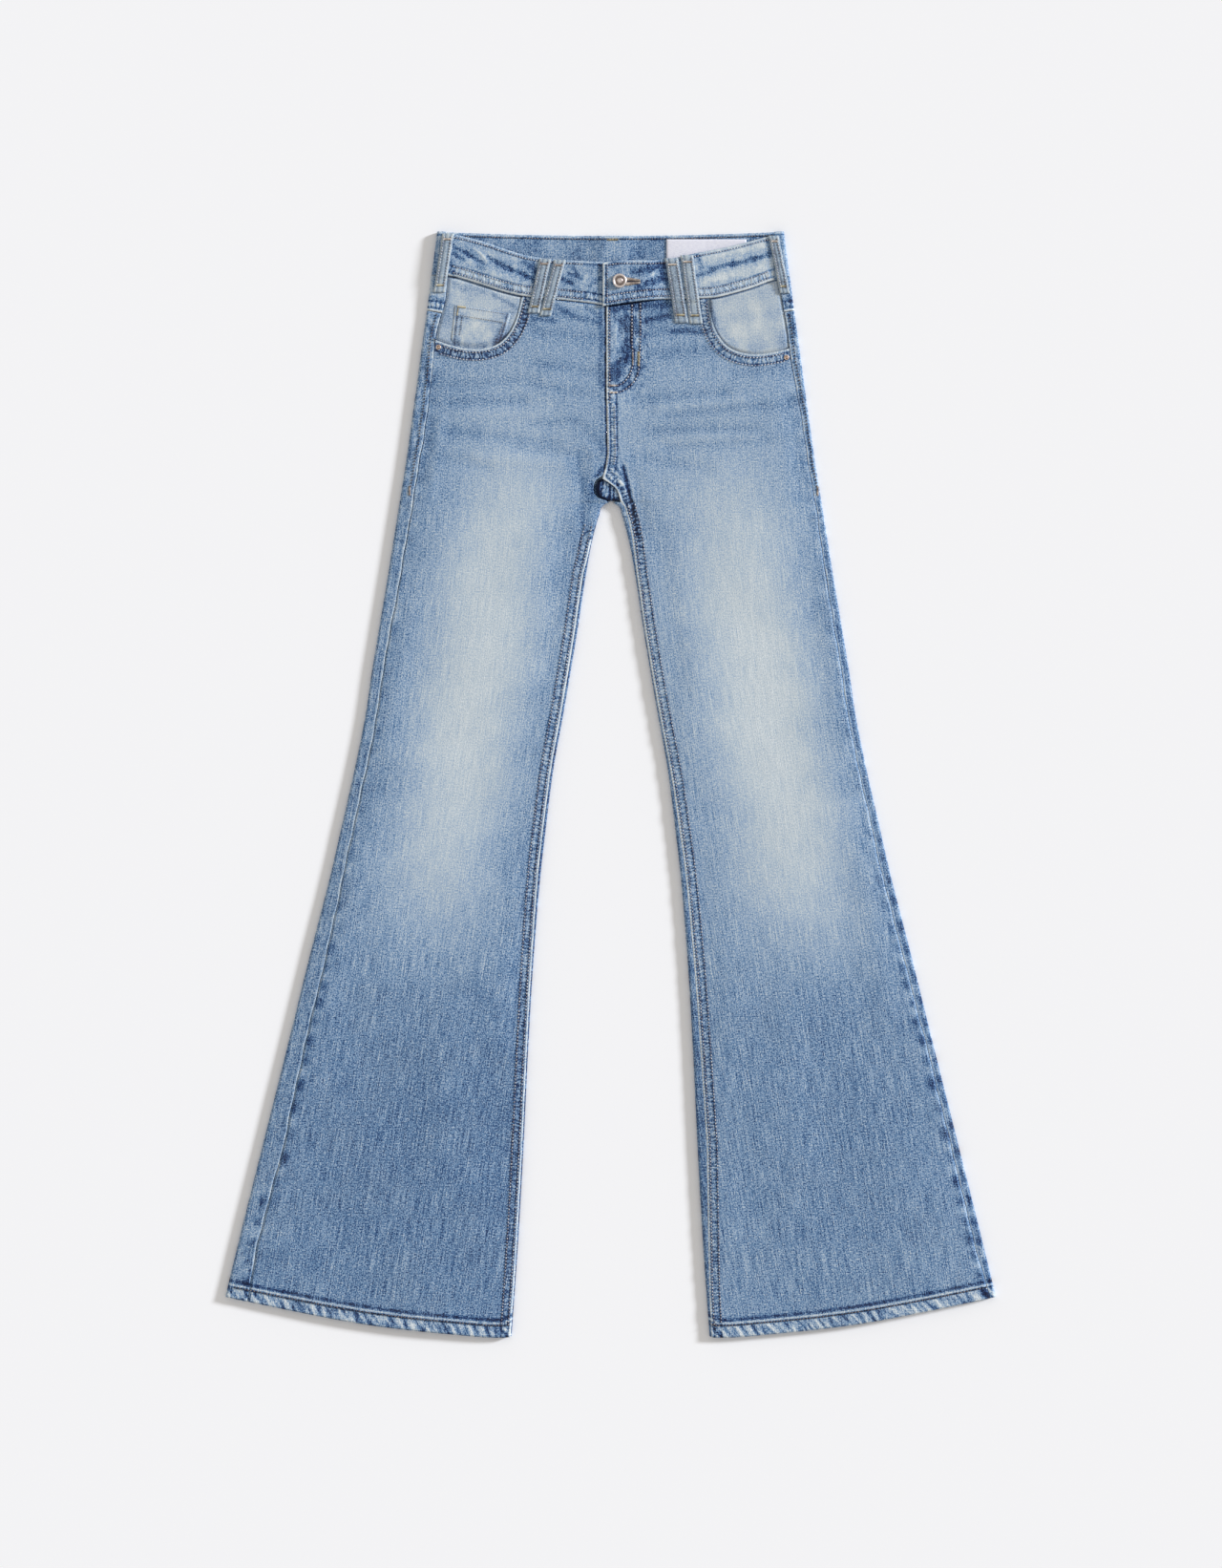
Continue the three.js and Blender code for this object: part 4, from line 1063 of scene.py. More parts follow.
def make_back(side):
    name = "back_" + SIDES[side]
    nominal = leg_rows()

    def height_at(across, rows):
        return row_height(rows, yoke_seam(across) + 0.3, hem_edge(np.abs(across)))

    steps = 22
    inward, _, _ = roll_path(rolled_out(side, nominal), ROLL, FOLD, steps)
    down_out = height_at(outer_fold(nominal)[:, None] - inward, nominal[:, None])
    own = [roll_path(rolled_out(side, down_out[:, j]), ROLL, FOLD, steps) for j in range(steps)]
    inward, z_arc, level = (np.stack([own[j][k][:, j] for j in range(steps)], 1) for k in range(3))
    x_out = side * (outer_fold(down_out) - inward)
    extra = top_height(side, x_out, down_out) - (ROLL + ROLL * rounded(inward))
    z_out = z_arc + np.where(level > 0, extra, 0)

    below = nominal > CROTCH
    turned = np.where(below, rolled_in(side, nominal), 2.0)
    inward_in, z_in, level_in = (part[:, ::-1] for part in roll_path(turned, ROLL, FOLD, 18))
    down_in = height_at(inner_fold(nominal)[:, None] + inward_in, nominal[:, None])
    x_in = side * (inner_fold(down_in) + inward_in)
    extra_in = top_height(side, x_in, down_in) - (ROLL + ROLL * rounded(inward_in))
    z_in = z_in + np.where(level_in > 0, extra_in, 0)
    flat_x = side * np.linspace(12, 0.15, 18)[None, :] + np.zeros_like(x_in)
    flat_down = height_at(np.abs(flat_x), nominal[:, None])
    below = below[:, None]
    x_in = np.where(below, x_in, flat_x)
    down_in = np.where(below, down_in, flat_down)
    z_in = np.where(below, z_in, lift_over_loop(flat_x, flat_down))

    share = np.linspace(0, 1, 30)[1:-1]
    x_under = x_out[:, -1:] + (x_in[:, :1] - x_out[:, -1:]) * share
    down_under = height_at(np.abs(x_under), nominal[:, None])
    z_under = lift_over_loop(x_under, down_under)

    x = np.concatenate([x_out, x_under, x_in], 1)
    down = np.concatenate([down_out, down_under, down_in], 1)
    z = np.concatenate([z_out, z_under, z_in], 1)
    hem_away, _ = nearest_on(hem_line(side), x, down)
    thickness = DENIM + 0.6 * (1 - ease(hem_away, 11.5, 13))
    shade = np.sin(down / 6.1 + side) + 0.6 * np.sin(down / 2.3)
    tone = wash(side, x, down) + 0.035 * shade - 0.03
    seam_away = np.abs(x) - (outer_fold(down) - rolled_out(side, down))
    rubbed = bell(seam_away - 0.3, 0.9) * (np.abs(x) > 140)
    streak = 0.05 * np.sin(x * 1.9 + down / 41) * np.sin(down / 15 + x)
    tone = tone + 0.36 * rubbed + streak - 0.1 * bell(seam_away - 3.0, 1.4)
    patches = np.clip(np.sin(down / 3.6 + 1.4 * np.sin(down / 33)) + 0.1, 0, 1)
    low_down = (ease(down, 950, 975) if side < 0 else ease(down, 560, 700)) * (np.abs(x) > 200)
    tone = tone - 0.05 * side - 0.36 * patches * bell(seam_away - 5.5, 3.4) * low_down
    tone = tone + 0.05 * low_down
    narrow = 1 - ease(np.abs(x), 110, 130)
    tone = tone - np.where(down > CROTCH, narrow * (0.1 if side > 0 else 0.34), 0)
    broken = 0.12 + 0.16 * (1 - ease(down, 260, 340))
    paint = paint_for(x, down, tone, [], [], hem_away, crumple=broken)
    return cloth(name, x, down, z, paint, denim, thickness, under=True,
                 lean=side)


for side in SIDES:
    make_back(side)
    make_front(side)

# %% [markdown]
# Where the legs part, the thick end of the seat seam comes up from the back, over the fold of the crotch,
# and shows between the two fronts as a small ridged face. It is one more strip of cloth: level below the
# fronts' edges, then round the fold and down to the back.

# %% Seat seam end
# Each pleat's valley: its place across at the top and at the foot, its width and its depth, in mm.
SEAT_PLEATS = [
    (-11.9, -14.3, 1.5, 1.0),
    (-7.4, -10.2, 1.0, 0.8),
    (-3.2, -6.4, 0.8, 0.6),
    (0.4, -1.2, 1.3, 1.0),
    (4.2, 3.0, 0.9, 0.8),
]


def make_seat_seam_end():
    share = np.linspace(0, 1, 46)[:, None]
    part = np.linspace(0, 1, 60)[None, :]
    level_length, arc = 19.0, ROLL * np.pi * 0.8
    s = share * (level_length + arc)
    angle = np.clip(s - level_length, 0, None) / ROLL
    down = 251.5 + np.minimum(s, level_length) + ROLL * np.sin(angle) + 0 * part
    above_fold = np.minimum(down, 271)
    left = front_edge(-1, above_fold) + 2.6
    right = np.minimum(front_edge(1, above_fold) + 2.0, 9.0)
    right = np.maximum(right, left + 2)
    x = left + (right - left) * part
    valley = 0 * x
    for top, foot, width, depth in SEAT_PLEATS:
        line = top + (foot - top) * s / level_length + 0.3 * np.sin(down / 2.1 + top)
        valley = valley + depth * bell(x - line, width)
    ridges = -0.36 * valley * (1 - ease(s, level_length, level_length + 2))
    fold = 0.7 * bell(x - left, 1.6)
    tucked = 1.1 * (1 - ease(down, 251, 256)) + 1.2 * ease(x - front_edge(1, above_fold), -2.0, 0.5)
    z = 5.3 - tucked + ridges * (1 - ease(x, 3, 5)) - fold - ROLL * (1 - np.cos(angle))
    # Painted shade: dark in the pleats' valleys, along the left edge where the strip goes under the left front, and
    # where it turns down round the fold.
    tone = 0.58 - 0.95 * valley + 0.2 * np.sin(down * 1.3 + x) * np.sin(x / 1.7)
    tone = tone - 1.2 * bell(x - left - 1.2, 3.0) + 0.2 * bell(x + 4 + s / 9, 1.8)
    tone = tone - 0.6 * ease(s, level_length - 2.5, level_length + 0.5)
    paint = paint_for(x, down, tone)
    return cloth("seat_seam_end", x, down, z, paint, denim, 0.9)


make_seat_seam_end()

# %% [markdown]
# Yokes. At each side fold the back yoke shows as a short strip between the waistband and the back leg. It
# rolls over the fold as the leg below it does, and lies under the front as far as the middle of the back.

# %% Yokes
SIDE_SEAM = 166.5
HALF_GAP = 0.15


def back_band_bottom(side, across):
    """The back waistband's lower edge, which meets the front one's at the side seams."""
    own = back_band_top(across) + 43
    return np.maximum(own, np.where(across > 160, band_edge(side, "bottom", across), 0))


def make_yoke(side):
    share = np.linspace(0, 1, 22)[:, None]
    near = 48 + (80 - 48) * share[:, 0]
    inward, z_roll, level = roll_path(rolled_out(side, near), ROLL, FOLD, 22)
    across_roll = outer_fold(near)[:, None] - inward
    flat = across_roll[:, -1:] + (HALF_GAP - across_roll[:, -1:]) * np.linspace(0, 1, 48)[1:]
    across = np.concatenate([across_roll, flat], 1)
    top = back_band_bottom(side, across) + 2 * HALF_GAP
    down = top + (yoke_seam(across) - top) * share
    z = np.concatenate([z_roll, np.zeros_like(flat)], 1) + lift_over_loop(side * across, np.minimum(down, 66))
    bulge = 0.5 * np.sin(np.pi * share) * np.concatenate([level, np.zeros_like(flat)], 1)
    x = side * across
    tone = wash(side, x, down) - 0.06 + 0.25 * (side < 0) + 0.05 * np.sin(down / 3.1) * (across > 150)
    line = np.stack([side * np.linspace(190, 0, 40), yoke_seam(np.linspace(190, 0, 40))], -1)
    paint = paint_for(x, down, tone, [line], crumple=0.24)
    return cloth("yoke_" + SIDES[side], x, down, z + bulge, paint, denim,
                 under=True)


for side in SIDES:
    make_yoke(side)

# %% [markdown]
# Waistband. It is two layers sewn together, so its wall is twice as thick. The back one is a single strip
# that rolls onto the front at both side folds, and its inside face shows behind the dip of the front. The
# right front end steps up over the left one, where the button holds them.

# %% Back waistband
BAND_ROLL = BAND_TOP / 2


def make_back_band():
    share = np.linspace(0, 1, 26)[:, None]
    fold = outer_fold(share[:, 0] * 45)
    inward, z_roll, level = roll_path(fold - SIDE_SEAM, BAND_ROLL, BAND_TOP, 24)
    across_roll = fold[:, None] - inward
    half = across_roll[:, -1:] * np.linspace(1, 0, 60)[1:]
    across = np.concatenate([across_roll, half], 1)
    both = np.concatenate([-across, across[:, -2::-1]], 1)
    z = np.concatenate([z_roll, np.zeros_like(half)], 1)
    z = np.concatenate([z, z[:, -2::-1]], 1)
    left_bottom, right_bottom = (back_band_bottom(side, np.abs(both)) for side in SIDES)
    bottom = np.where(both < 0, left_bottom, right_bottom)
    top = back_band_top(both)
    down = top + (bottom - top) * share
    edge = np.minimum(down - top, bottom - down)
    turned = np.where(z > BAND_ROLL, 1, 0)
    z = z + lift_over_loop(both, np.minimum(down, 66)) - 0.5 * bell(edge, 1.4) * turned
    inside = 0.46 + 0.09 * np.sin(both / 9.5 + down / 14)
    inside = inside + 0.08 * np.sin(both / 4.1 + 1) * np.sin(down / 7 + both / 19) - 0.05 * (both > 40)
    tone = np.where(z > BAND_ROLL, wash(1, both, down), inside + stroke_sum(both, down, "tone") * 0.3)
    tone = tone + 0.22 * bell(down - top - 3.0, 1.6)
    row_across = np.linspace(-176, 176, 90)
    row = np.stack([row_across, back_band_top(row_across)], -1)
    paint = paint_for(both, down, tone, [], [row], rope=0.5, rubbed=0.25, crumple=0.14)
    thick = BAND - 0.5 * bell(edge, 1.4)
    return cloth("waistband_back", both, down, z, paint, denim, thick,
                 under=True)


make_back_band()

# %% Front waistbands
BAND_END = {-1: -22.0, 1: -8.0}


def band_edges_at(side, across):
    """Top and bottom of a front waistband. The left one's tucked end lies just inside the right one's
    edges."""
    tucked = (side < 0) & (across < 0)
    top = np.where(tucked, band_edge(1, "top", -across) + 1, band_edge(side, "top", across))
    bottom = np.where(tucked, band_edge(1, "bottom", -across) - 1, band_edge(side, "bottom", across))
    return top, bottom


def make_front_band(side):
    share = np.linspace(0, 1, 40)[:, None]
    across = np.linspace(BAND_END[side], SIDE_SEAM - 2 * HALF_GAP, 150)[None, :] + 0 * share
    top, bottom = band_edges_at(side, across)
    down = top + (bottom - top) * share
    x = side * across
    edge = np.minimum(down - top, bottom - down)
    end = np.minimum(across - BAND_END[side], SIDE_SEAM - across)
    drop = 0.5 * bell(edge, 1.3) + 0.35 * bell(end, 1.2)
    drop = drop + 0.3 * bell(bottom - down, 1.5)
    rows = bell(edge - 3.4, 0.9) + bell(bottom - down - 10, 0.9)
    ripple = 0.16 * np.sin(across / 1.15 + 1.5 * np.sin(across / 17)) * ease(bottom - down, 3, 5)
    ripple = ripple * (1 - ease(bottom - down, 8.5, 10.5))
    z = band_height(side, x, down) - drop - 0.18 * rows + ripple
    tone = wash(side, x, down) + 0.09 * np.sin(x / 5.3 + down / 9) * np.sin(x / 12.1 - down / 6)
    tone = tone + (0.2 if side > 0 else 0.04) * ease(across, 70, 100)
    tone = tone + (0.03 if side > 0 else 0.2) * bell(bottom - down - 6, 6.5) * ease(across, 60, 80)
    low = np.stack([side * across[0], bottom[0]], -1)
    high = np.stack([side * across[0], top[0]], -1)
    single = [high]
    if side > 0:
        single.append(np.array([(BAND_END[1], 30.0), (BAND_END[1], 78.0)]))
    rope = 0.3 + 0.5 * (1 - ease(across, 40, 70)) + 0.6 * ease(across, 148, 158)
    low_rub = 0.35 + 0.35 * ease(across, 50, 90) if side > 0 else 0.8
    rubbed = np.where(down - top < (bottom - top) / 2, 0.15, low_rub)
    rubbed = np.where((side > 0) & (across < BAND_END[side] + 4), 1.0, rubbed)
    paint = paint_for(x, down, tone, [low], single, rope=rope, rubbed=rubbed, crumple=0.18)
    return cloth("waistband_front_" + SIDES[side], x, down, z, paint, denim,
                 BAND - drop)


for side in SIDES:
    make_front_band(side)

# %% [markdown]
# Pocket facings and coin pocket. A scooped mouth shows the denim facing sewn behind it, which is paler
# because it stood proud when the jeans were washed. The coin pocket lies on the left facing, and both dip
# where they run under the front's edge.

# %% Pocket facings and coin pocket
FACING_TOP = 3.7
COIN_SIDES = {"inner": ((83.5, 101.0), (118.0, 111.0)), "outer": ((75.0, 158.2), (118.0, 162.6))}
COIN_TOP = ((101.0, 83.5), (158.2, 75.0))


def mouth_down(side, across):
    curve = mouth_curve(side, 90)
    return np.interp(across, curve[:, 0], curve[:, 1])


def coin_edge(which, down):
    (d0, a0), (d1, a1) = COIN_SIDES[which]
    return a0 + (a1 - a0) * (np.asarray(down) - d0) / (d1 - d0)


def coin_top(across):
    (a0, d0), (a1, d1) = COIN_TOP
    return d0 + (d1 - d0) * (np.asarray(across) - a0) / (a1 - a0)


def coin_dip(across, down):
    """How far the coin pocket sinks, near the front's edge, to go under it."""
    return 1.5 * ease(down - mouth_down(-1, across), -7, -1.0)


def make_facing(side):
    inner_end = MOUTH_START[side] - 10
    share = np.linspace(0, 1, 60)[:, None]
    part = np.linspace(0, 1, 70)[None, :]
    outer_end = outer_fold(90) - rolled_out(side, 90) + 1.5
    guess = inner_end + (outer_end - inner_end) * part
    top = band_edge(side, "bottom", guess) - 4
    bottom = np.maximum(mouth_down(side, guess) + 12, top + 30)
    down = top + (bottom - top) * share
    outer_at = outer_fold(down) - rolled_out(side, down) + 1.5
    across = inner_end + (outer_at - inner_end) * part
    x = side * across
    inside = across - MOUTH_START[side]
    clear = np.minimum(mouth_down(side, across) - down, inside) * (inside > 0)
    clear = np.minimum(clear, np.minimum(down - band_edge(side, "bottom", across), outer_at - 1.5 - across))
    swell = 1.3 * ease(clear, 0.3, 3.2)
    z = FACING_TOP - 0.1 + 0.1 * np.sin(x / 8 + down / 6) + swell
    if side < 0:
        past_inner, past_outer = (across - coin_edge(which, down) for which in ("inner", "outer"))
        on_coin = ease(past_inner, 0.5, 3) * (1 - ease(past_outer, -3, -0.5))
        on_coin = on_coin * ease(down - coin_top(across), 0.5, 3)
        z = z - swell * on_coin - 0.25 * coin_dip(across, down) * on_coin
    tone = 0.8 - 0.02 * (side < 0) + 0.05 * np.sin(x / 5 + 0.4) * np.sin(down / 8)
    tone = tone + stroke_sum(x, down, "tone")
    tone = tone + 0.08 * bell(x - side * 140, 26) * ease(down, 60, 100)
    # Painted shade near the facing's edges, where it runs under the outseam and under the front's edge by the mouth.
    tone = tone - 0.13 * bell(outer_at - across, 9) - 0.1 * bell(across - 92, 9)
    if side < 0:
        tone = tone - 0.14 * ease(past_outer, -3, 0) * (down > 74) - 0.22 * bell(past_inner, 4) * (down > 80)
    tone = tone + 0.08 * np.sin(x / 7.3 + down / 11) * np.sin(x / 11 - down / 6.1)
    paint = paint_for(x, down, tone, shadow_lines=[outseam_shadow_line(side), band_shadow_line(side)])
    return cloth("pocket_facing_" + SIDES[side], x, down, z, paint, facing_denim)


def make_coin_pocket():
    share = np.linspace(0, 1, 60)[:, None]
    part = np.linspace(0, 1, 70)[None, :]
    guess = 101 + 57.2 * part
    top = coin_top(guess)
    bottom = mouth_down(-1, guess + 4) + 3
    down = top + (bottom - top) * share
    across = coin_edge("inner", down) + (coin_edge("outer", down) - coin_edge("inner", down)) * part
    x = -across
    edge = np.minimum(across - coin_edge("inner", down), coin_edge("outer", down) - across)
    hem = down - coin_top(across)
    drop = 0.35 * bell(edge, 1.2) + 0.3 * bell(hem, 1.2)
    thick_hem = 0.35 * (1 - ease(hem, 9.5, 11.5)) * ease(edge, 0, 2)
    z = 5.5 - coin_dip(across, down) + thick_hem - drop + 0.15 * bell(edge - 4, 2.5)
    tone = 0.78 + 0.09 * np.sin(x / 4.1) * np.sin(down / 5.3) - 0.12 * bell(hem, 1.8)
    tone = tone + 0.1 * bell(across - 132, 16) - 0.12 * bell(edge, 1.5)
    tone = tone - 0.1 * bell(across - 112, 9)
    # Painted shade, mottled, where the coin pocket slides under the front's edge.
    low = bell(mouth_down(-1, across) - down - 1, 5.5)
    tone = tone - low * (0.3 + 0.24 * np.sin(x / 1.9) * np.sin(x / 7))
    tone = tone - 0.2 * bell(hem - 11.8, 1.0) - 0.12 * bell(edge - 7, 2.0)
    tone = tone - 0.14 * (1 - ease(edge, 9, 11)) * (0.5 + 0.5 * np.sin(down / 1.9))
    tone = tone + stroke_sum(x, down, "tone") * 0.4
    left = np.array([(-a, d) for d, a in COIN_SIDES["outer"]])
    right = np.array([(-a, d) for d, a in COIN_SIDES["inner"]])
    paint = paint_for(x, down, tone, [], [left, right], rubbed=0.35, crumple=0.12)
    return cloth("coin_pocket", x, down, z, paint, facing_denim)


MOUTH_START = {side: POCKET_MOUTH[SIDES[side]][0][0] for side in SIDES}
for side in SIDES:
    make_facing(side)
make_coin_pocket()

# %% [markdown]
# Belt loops. Each is a strip folded to three layers, edge-stitched along both sides, with its ends turned
# under and held by bar tacks. It lies over the waistband and steps down to the cloth below it, so its
# height is the higher of the two surfaces, eased from one to the other.

# %% Belt loops
LOOP_LAYER = 1.2
# Side, middle at the top and at the foot as (across, down), and width.
LOOPS = {
    "belt_loop_side_left": (-1, (164.6, 2.4), (173.7, 62.0), 12.0),
    "belt_loop_front_left_outer": (-1, (66.0, 27.8), (78.1, 83.0), 12.0),
    "belt_loop_front_left_inner": (-1, (51.1, 29.0), (66.1, 85.8), 12.0),
    "belt_loop_front_right_inner": (1, (61.8, 27.6), (72.2, 92.9), 13.5),
    "belt_loop_front_right_outer": (1, (77.3, 24.4), (87.0, 93.9), 13.2),
    "belt_loop_side_right": (1, (165.2, 4.6), (177.0, 63.0), 10.5),
}
# Change of tone of single loops.
LOOP_SHADES = {
    "belt_loop_side_left": 0.1,
    "belt_loop_front_right_inner": -0.15,
    "belt_loop_front_right_outer": 0.05,
}


def cloth_below_band(side, x, down):
    """What a loop's lower part lies on: the front leg, or beside the outseam the rolled yoke."""
    yoke = FOLD + 0.5
    return np.where(np.abs(x) > 155, yoke, front_height(side, x, down))


def loop_height(side, middle, width, x, down, across_share):
    """Outer face of a loop: the surface below it, a gap, its layer, and a low crown across its width."""
    past = down - band_edge(side, "bottom", middle - width / 2)
    on_cloth = ease(past, 0.3, 5)
    below = (BAND_TOP + overlap_lift(side, x)) * (1 - on_cloth) + cloth_below_band(side, x, down) * on_cloth
    return below + 0.3 + LOOP_LAYER + 0.25 * (1 - across_share**2)


def make_loop(name, side, start, foot, width):
    share = np.linspace(0, 1, 90)[:, None]
    part = np.linspace(-1, 1, 19)[None, :]
    middle = start[0] + (foot[0] - start[0]) * share
    down = start[1] + (foot[1] - start[1]) * share + 0 * part
    pinch = 1 - 0.05 * bell(share - 0.5, 0.3)
    across = middle + part * width / 2 * pinch
    x = side * across
    length = np.hypot(foot[0] - start[0], foot[1] - start[1])
    end = np.minimum(share, 1 - share) * length
    edge = (1 - np.abs(part)) * width / 2
    drop = 0.5 * bell(edge, 0.9) + 0.45 * bell(end, 1.1)
    rows = 0.14 * bell(edge - 2.4, 0.7)
    tacks = 0.25 * bell(end - 6.5, 2.2)
    z = loop_height(side, middle, width, x, down, part) - drop - rows - tacks
    tone = 0.64 + 0.13 * np.sin(down / 4.3 + x / 3) * np.sin(down / 9.7) - 0.1 * bell(edge, 1.8)
    tone = tone + 0.22 * bell(end - 2.2, 2) - 0.14 * bell(end - 9.5, 1.6)
    halves = (-width / 2, width / 2)
    edges = [np.array([(side * (at + half), level) for at, level in (start, foot)]) for half in halves]
    tone = tone + LOOP_SHADES.get(name, 0.0) + 0 * x
    paint = paint_for(x, down, tone, [], edges, rubbed=0.3, crumple=0.1)
    return cloth(name, x, down, z, paint, loop_denim, LOOP_LAYER - drop)


for name, (side, start, foot, width) in LOOPS.items():
    make_loop(name, side, start, foot, width)

loop_across = np.linspace(-BACK_LOOP["half"], BACK_LOOP["half"], 9) + BACK_LOOP["middle"]
loop_x, loop_down = np.meshgrid(loop_across, np.linspace(BACK_LOOP["top"], BACK_LOOP["foot"], 40))
loop_paint = paint_for(loop_x, loop_down, 0.55 + 0.08 * np.sin(loop_down / 5))
cloth("belt_loop_back", loop_x, loop_down, np.zeros_like(loop_x), loop_paint, loop_denim,
      under=True)

# %% [markdown]
# Threads. Every stitch is a short rounded bar of thread lying in a dimple, 3 mm long on the seams and
# packed close in the bar tacks. One small capsule is worked out once, and then copied along each row as
# arrays: turned to the row's direction, and set on the surface below it.

# %% Stitch maker
THREADS = {}


def capsule(sides=6, rings=4):
    """A rounded bar along X from -1 to 1 with radius 1: rings of radius cos(tip) at the ends."""
    tip = np.linspace(0.15, np.pi / 2, rings // 2)
    centre = np.concatenate([-1 + 0.45 * (1 - np.sin(tip)), (1 - 0.45 * (1 - np.sin(tip)))[::-1]])
    radius = np.concatenate([np.sin(tip) * 0.9 + 0.1, (np.sin(tip) * 0.9 + 0.1)[::-1]])
    turn = np.linspace(0, 2 * np.pi, sides, endpoint=False)
    across = [(radius[:, None] * wave(turn)).ravel() for wave in (np.cos, np.sin)]
    points = np.stack([np.repeat(centre, sides), *across], -1)
    index = np.arange(len(centre) * sides).reshape(len(centre), sides)
    ahead = np.roll(index, -1, axis=1)
    around = np.stack([index[:-1], index[1:], ahead[1:], ahead[:-1]], -1).reshape(-1, 4)
    caps = [index[0, [0, 1, 2, 3]], index[0, [0, 3, 4, 5]], index[-1, [3, 2, 1, 0]], index[-1, [5, 4, 3, 0]]]
    return points, np.concatenate([around, np.array(caps)])


BAR_POINTS, BAR_QUADS = capsule()


def bars(ends_a, ends_b, radius):
    """Capsules from ends_a to ends_b, arrays of points in mm, collected for one mesh."""
    axis = ends_b - ends_a
    length = np.linalg.norm(axis, axis=-1, keepdims=True)
    axis = axis / np.maximum(length, 1e-9)
    flat = np.cross(np.array([0.0, 0.0, 1.0]), axis)
    flat = flat / np.maximum(np.linalg.norm(flat, axis=-1, keepdims=True), 1e-9)
    up = np.cross(axis, flat)
    middle = (ends_a + ends_b) / 2
    p = BAR_POINTS
    points = middle[:, None] + axis[:, None] * (p[None, :, :1] * length[:, None] / 2)
    points = points + flat[:, None] * p[None, :, 1:2] * radius + up[:, None] * p[None, :, 2:3] * radius
    quads = BAR_QUADS[None] + (np.arange(len(points)) * len(p))[:, None, None]
    return points.reshape(-1, 3), quads.reshape(-1, 4)


def resample(line, pitch):
    """Points every pitch mm along a broken line."""
    line = np.asarray(line, float)
    length = np.concatenate([[0], np.cumsum(np.hypot(*np.diff(line, axis=0).T))])
    at = np.arange(0, length[-1], pitch)
    return np.stack([np.interp(at, length, line[:, 0]), np.interp(at, length, line[:, 1])], -1)


def beside(line, offset):
    """The line moved sideways: to the left of its direction on the page for a positive offset in mm."""
    line = np.asarray(line, float)
    along = np.gradient(line, axis=0)
    along = along / np.maximum(np.linalg.norm(along, axis=-1, keepdims=True), 1e-9)
    return line + offset * np.stack([along[:, 1], -along[:, 0]], -1)


def stitches(area, line, surface, pitch=3.3, share=0.54, radius=0.56, sink=0.28):
    """A row of stitches for one area's mesh, along a line of (x, down), lying on surface(x, down)."""
    spots = resample(line, pitch / 8)
    starts = np.arange(0, len(spots) - 8, 8)
    a, b = spots[starts], spots[starts + int(round(8 * share))]
    ends = [to_world(x, down, surface(x, down) + (radius - sink)) for x, down in (a.T, b.T)]
    THREADS.setdefault(area, []).append(bars(*ends, radius))


def bar_tack(area, start, foot, width, surface, pitch=0.62, radius=0.34, lift=0.2):
    """Threads laid side by side across a line: a dense bar of zigzag stitches."""
    start, foot = np.array(start, float), np.array(foot, float)
    length = np.hypot(*(foot - start))
    along = (foot - start) / length
    across = np.array([along[1], -along[0]]) * width / 2
    t = np.arange(0, length, pitch)[:, None]
    slant = along * pitch / 2
    a, b = start + along * t - across - slant, start + along * t + across + slant
    z = surface(start[0] + along[0] * t[:, 0], start[1] + along[1] * t[:, 0]) + lift
    ends = [to_world(x, down, z) for x, down in (a.T, b.T)]
    THREADS.setdefault(area, []).append(bars(*ends, radius))


def finish_threads(area, material):
    """Makes one mesh of all the stitches of an area."""
    points, quads, count = [], [], 0
    for p, q in THREADS[area]:
        points.append(p)
        quads.append(q + count)
        count += len(p)
    piece = make_mesh(area, np.concatenate(points), np.concatenate(quads), material)
    print(area, sum(len(q) for q in quads), "quads")
    return piece


print("capsule", len(BAR_QUADS), "quads")

# %% Thread materials
def thread_material(name, pale, dark):
    """Spun thread: a dull twist of two shades, with fine ridges round it."""
    material, shader, start = new_material(name, 0.75)
    place = start.node("ShaderNodeTexCoord", out=3)
    worn = start.noise(2.0, 170.0, Vector=place).above(0.35, 0.65)
    plies = start.noise(1.0, 1900.0, Vector=place)
    start.surface(shader, start.mix(worn, dark, pale), plies, 0.4, 0.0002)
    return material


grey_thread = thread_material("grey_mauve_thread", srgb(206, 206, 208), srgb(120, 120, 138))
dark_thread = thread_material("dark_thread", srgb(118, 108, 108), srgb(34, 36, 54))
brown_thread = thread_material("grey_brown_thread", srgb(150, 138, 132), srgb(72, 68, 76))
ochre_thread = thread_material("ochre_thread", srgb(200, 190, 160), srgb(136, 126, 104))
tan_thread = thread_material("tan_thread", srgb(208, 196, 184), srgb(148, 134, 126))

# %% Seam stitches
INSEAM_ROWS = {-1: (3.2, 10.2), 1: (3.6, 10.8)}
MOUTH_ROWS = (3.4, 11.2)
HEM_ROW = 12.6
OUTSEAM_FOOT = 264
OUTSEAM_ROW = 4.4


def on_front(side):
    return lambda x, down: front_height(side, x, down)


def on_band(side):
    return lambda x, down: band_height(side, x, down) - 0.18


def on_wrap(side):
    return lambda x, down: top_height(side, x, down)


def on_back_band(x, down):
    return BAND + lift_over_loop(x, down)


